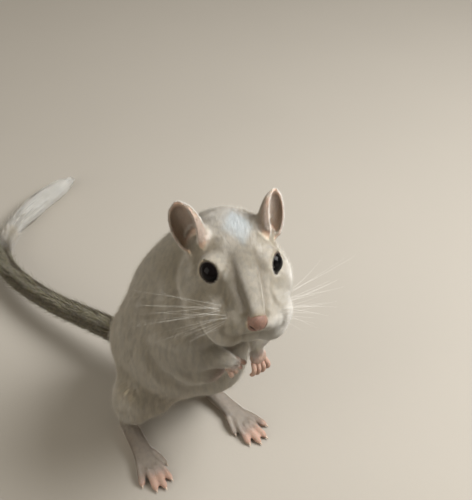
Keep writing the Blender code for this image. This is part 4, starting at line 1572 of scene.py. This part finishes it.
def whisker(bm, tree, sign, down, back, draw):
    """One whisker, from its place in the rows: 0 to 1 down the pad and back from the nose."""
    root = tree.find_nearest(on_head(Vector((sign * 8, -14.2 + 4.4 * back, -3.2 - 4.2 * down))))[0]
    backward = -0.1 + 0.5 * back + draw.normal(0, 0.12)
    upward = 0.12 - 0.75 * down + draw.normal(0, 0.12)
    way = (HEAD_TURN @ Vector((sign, backward, upward))).normalized()
    bend = HEAD_TURN @ Vector((0, 0.5 + draw.normal(0, 0.15), -0.4 + draw.normal(0, 0.15)))
    length = (10 + 17 * back) * draw.uniform(0.8, 1.15) * MM
    points, radii = [], []
    for step in range(WHISKER_STEPS + 1):
        t = step / WHISKER_STEPS
        points.append(root + way * length * (t - 0.02) + bend * (length * 0.3 * t * t))
        radii.append(WHISKER_RADIUS * MM * (1 - 0.8 * t))
    tube(bm, points, radii, 4, Vector((0, 0.2, 1)))


class GERBIL_OT_whiskers(bpy.types.Operator):
    """Fine whiskers in rows on both pads"""

    bl_idname = "gerbil.whiskers"
    bl_label = "Whiskers"

    def execute(self, context):
        coat = coat_of(context)
        draw = np.random.default_rng(coat.settings.seed + 20)
        material = whisker_finish()
        for side, sign in SIDES.items():
            bm = bmesh.new()
            for down in np.linspace(0, 1, WHISKER_ROWS).tolist():
                for back in np.linspace(0, 1, WHISKERS_IN_ROW).tolist():
                    whisker(bm, coat.tree, sign, down, back, draw)
            add_piece(bm, "whiskers_" + side, material, "white_fur")
        return {"FINISHED"}


STAGE_MIDDLE = (8, 10, 50)
FLOOR_REACH = 6
WORLD_COLOUR = (1, 0.9, 0.75, 1)
WORLD_STRENGTH = 0.31


def add_light(name, place, size, power, colour):
    """A soft square light that faces the middle of the animal."""
    data = bpy.data.lights.new(name, "AREA")
    data.size = size
    data.energy = power
    data.color = colour
    made = add_object(name, data)
    made.location = place
    made.rotation_euler = (in_frame(STAGE_MIDDLE) - place).to_track_quat("-Z", "Y").to_euler()


class GERBIL_OT_stage(bpy.types.Operator):
    """Pale floor, soft lights and the photograph's camera"""

    bl_idname = "gerbil.stage"
    bl_label = "Stage"

    def execute(self, context):
        bm = bmesh.new()
        bmesh.ops.create_grid(bm, x_segments=1, y_segments=1, size=FLOOR_REACH)
        floor = add_object("floor", mesh_of(bm, "floor", floor_finish(context.scene.gerbil_colours)))

        world = bpy.data.worlds.new("Studio")
        world.use_nodes = True
        background = world.node_tree.nodes["Background"]
        background.inputs["Color"].default_value = WORLD_COLOUR
        background.inputs["Strength"].default_value = WORLD_STRENGTH
        context.scene.world = world
        context.scene.view_settings.view_transform = "Standard"

        # As the camera sees it: to its right, and from the animal toward it
        middle = in_frame(STAGE_MIDDLE)
        across = Vector((0.788, -0.616, 0))
        toward = Vector((-0.457, -0.572, 0.681))
        key = middle + across * 0.27 + Vector((0, 0, 0.33)) - toward * 0.05
        fill = middle - across * 0.5 + toward * 0.35
        low = middle + (across * 0.42 + Vector((toward.x, toward.y, 0)) * 0.35)
        add_light("Key", key, 0.24, 2.55, (1, 0.985, 0.96))
        add_light("Fill", fill, 0.5, 1.5, (1, 0.95, 0.86))
        add_light("Low", low, 0.35, 0.4, (1, 0.93, 0.82))

        data = bpy.data.cameras.new("Camera")
        data.sensor_fit = "AUTO"
        data.sensor_width = SENSOR
        data.lens = FOCAL_PIXELS * SENSOR / LONG_SIDE_PIXELS
        data.clip_start = 0.01
        camera = add_object("Camera", data)
        camera.location = in_frame(CAMERA_PLACE)
        camera.rotation_euler = (CAMERA_TARGET - CAMERA_PLACE).to_track_quat("-Z", "Y").to_euler()
        context.scene.camera = camera
        return {"FINISHED"}


OPERATORS = (
    GERBIL_OT_stage,
    GERBIL_OT_skin,
    GERBIL_OT_eyes,
    GERBIL_OT_lids,
    GERBIL_OT_nose,
    GERBIL_OT_fingers,
    GERBIL_OT_body_coat,
    GERBIL_OT_head_coat,
    GERBIL_OT_limb_coat,
    GERBIL_OT_tail_coat,
    GERBIL_OT_claws,
    GERBIL_OT_whiskers,
)


class GERBIL_PT_panel(bpy.types.Panel):
    """Lists the gerbil's sizes, colours and pieces"""

    bl_label = "Gerbil"
    bl_space_type = "VIEW_3D"
    bl_region_type = "UI"
    bl_category = "Gerbil"

    def draw(self, context):
        for group in (context.scene.gerbil_skin, context.scene.gerbil_coat, context.scene.gerbil_colours):
            box = self.layout.box()
            for name in group.bl_rna.properties.keys():
                if name not in ("rna_type", "name"):
                    box.prop(group, name)
        for operator in OPERATORS:
            self.layout.operator(operator.bl_idname)


CLASSES = (CoatSettings, SkinSettings, Colours, *OPERATORS, GERBIL_PT_panel)


def register():
    for each in CLASSES:
        bpy.utils.register_class(each)
    bpy.types.Scene.gerbil_coat = PointerProperty(type=CoatSettings)
    bpy.types.Scene.gerbil_skin = PointerProperty(type=SkinSettings)
    bpy.types.Scene.gerbil_colours = PointerProperty(type=Colours)


def unregister():
    del bpy.types.Scene.gerbil_coat
    del bpy.types.Scene.gerbil_skin
    del bpy.types.Scene.gerbil_colours
    for each in reversed(CLASSES):
        bpy.utils.unregister_class(each)


def clear_scene():
    """Removes what a new file holds, apart from the frame."""
    for name in ("Cube", "Light", "Camera"):
        old = bpy.data.objects.get(name)
        if old:
            bpy.data.objects.remove(old)


def main():
    clear_scene()
    register()
    for operator in OPERATORS:
        group, name = operator.bl_idname.split(".")
        getattr(getattr(bpy.ops, group), name)()


if __name__ == "__main__":
    main()
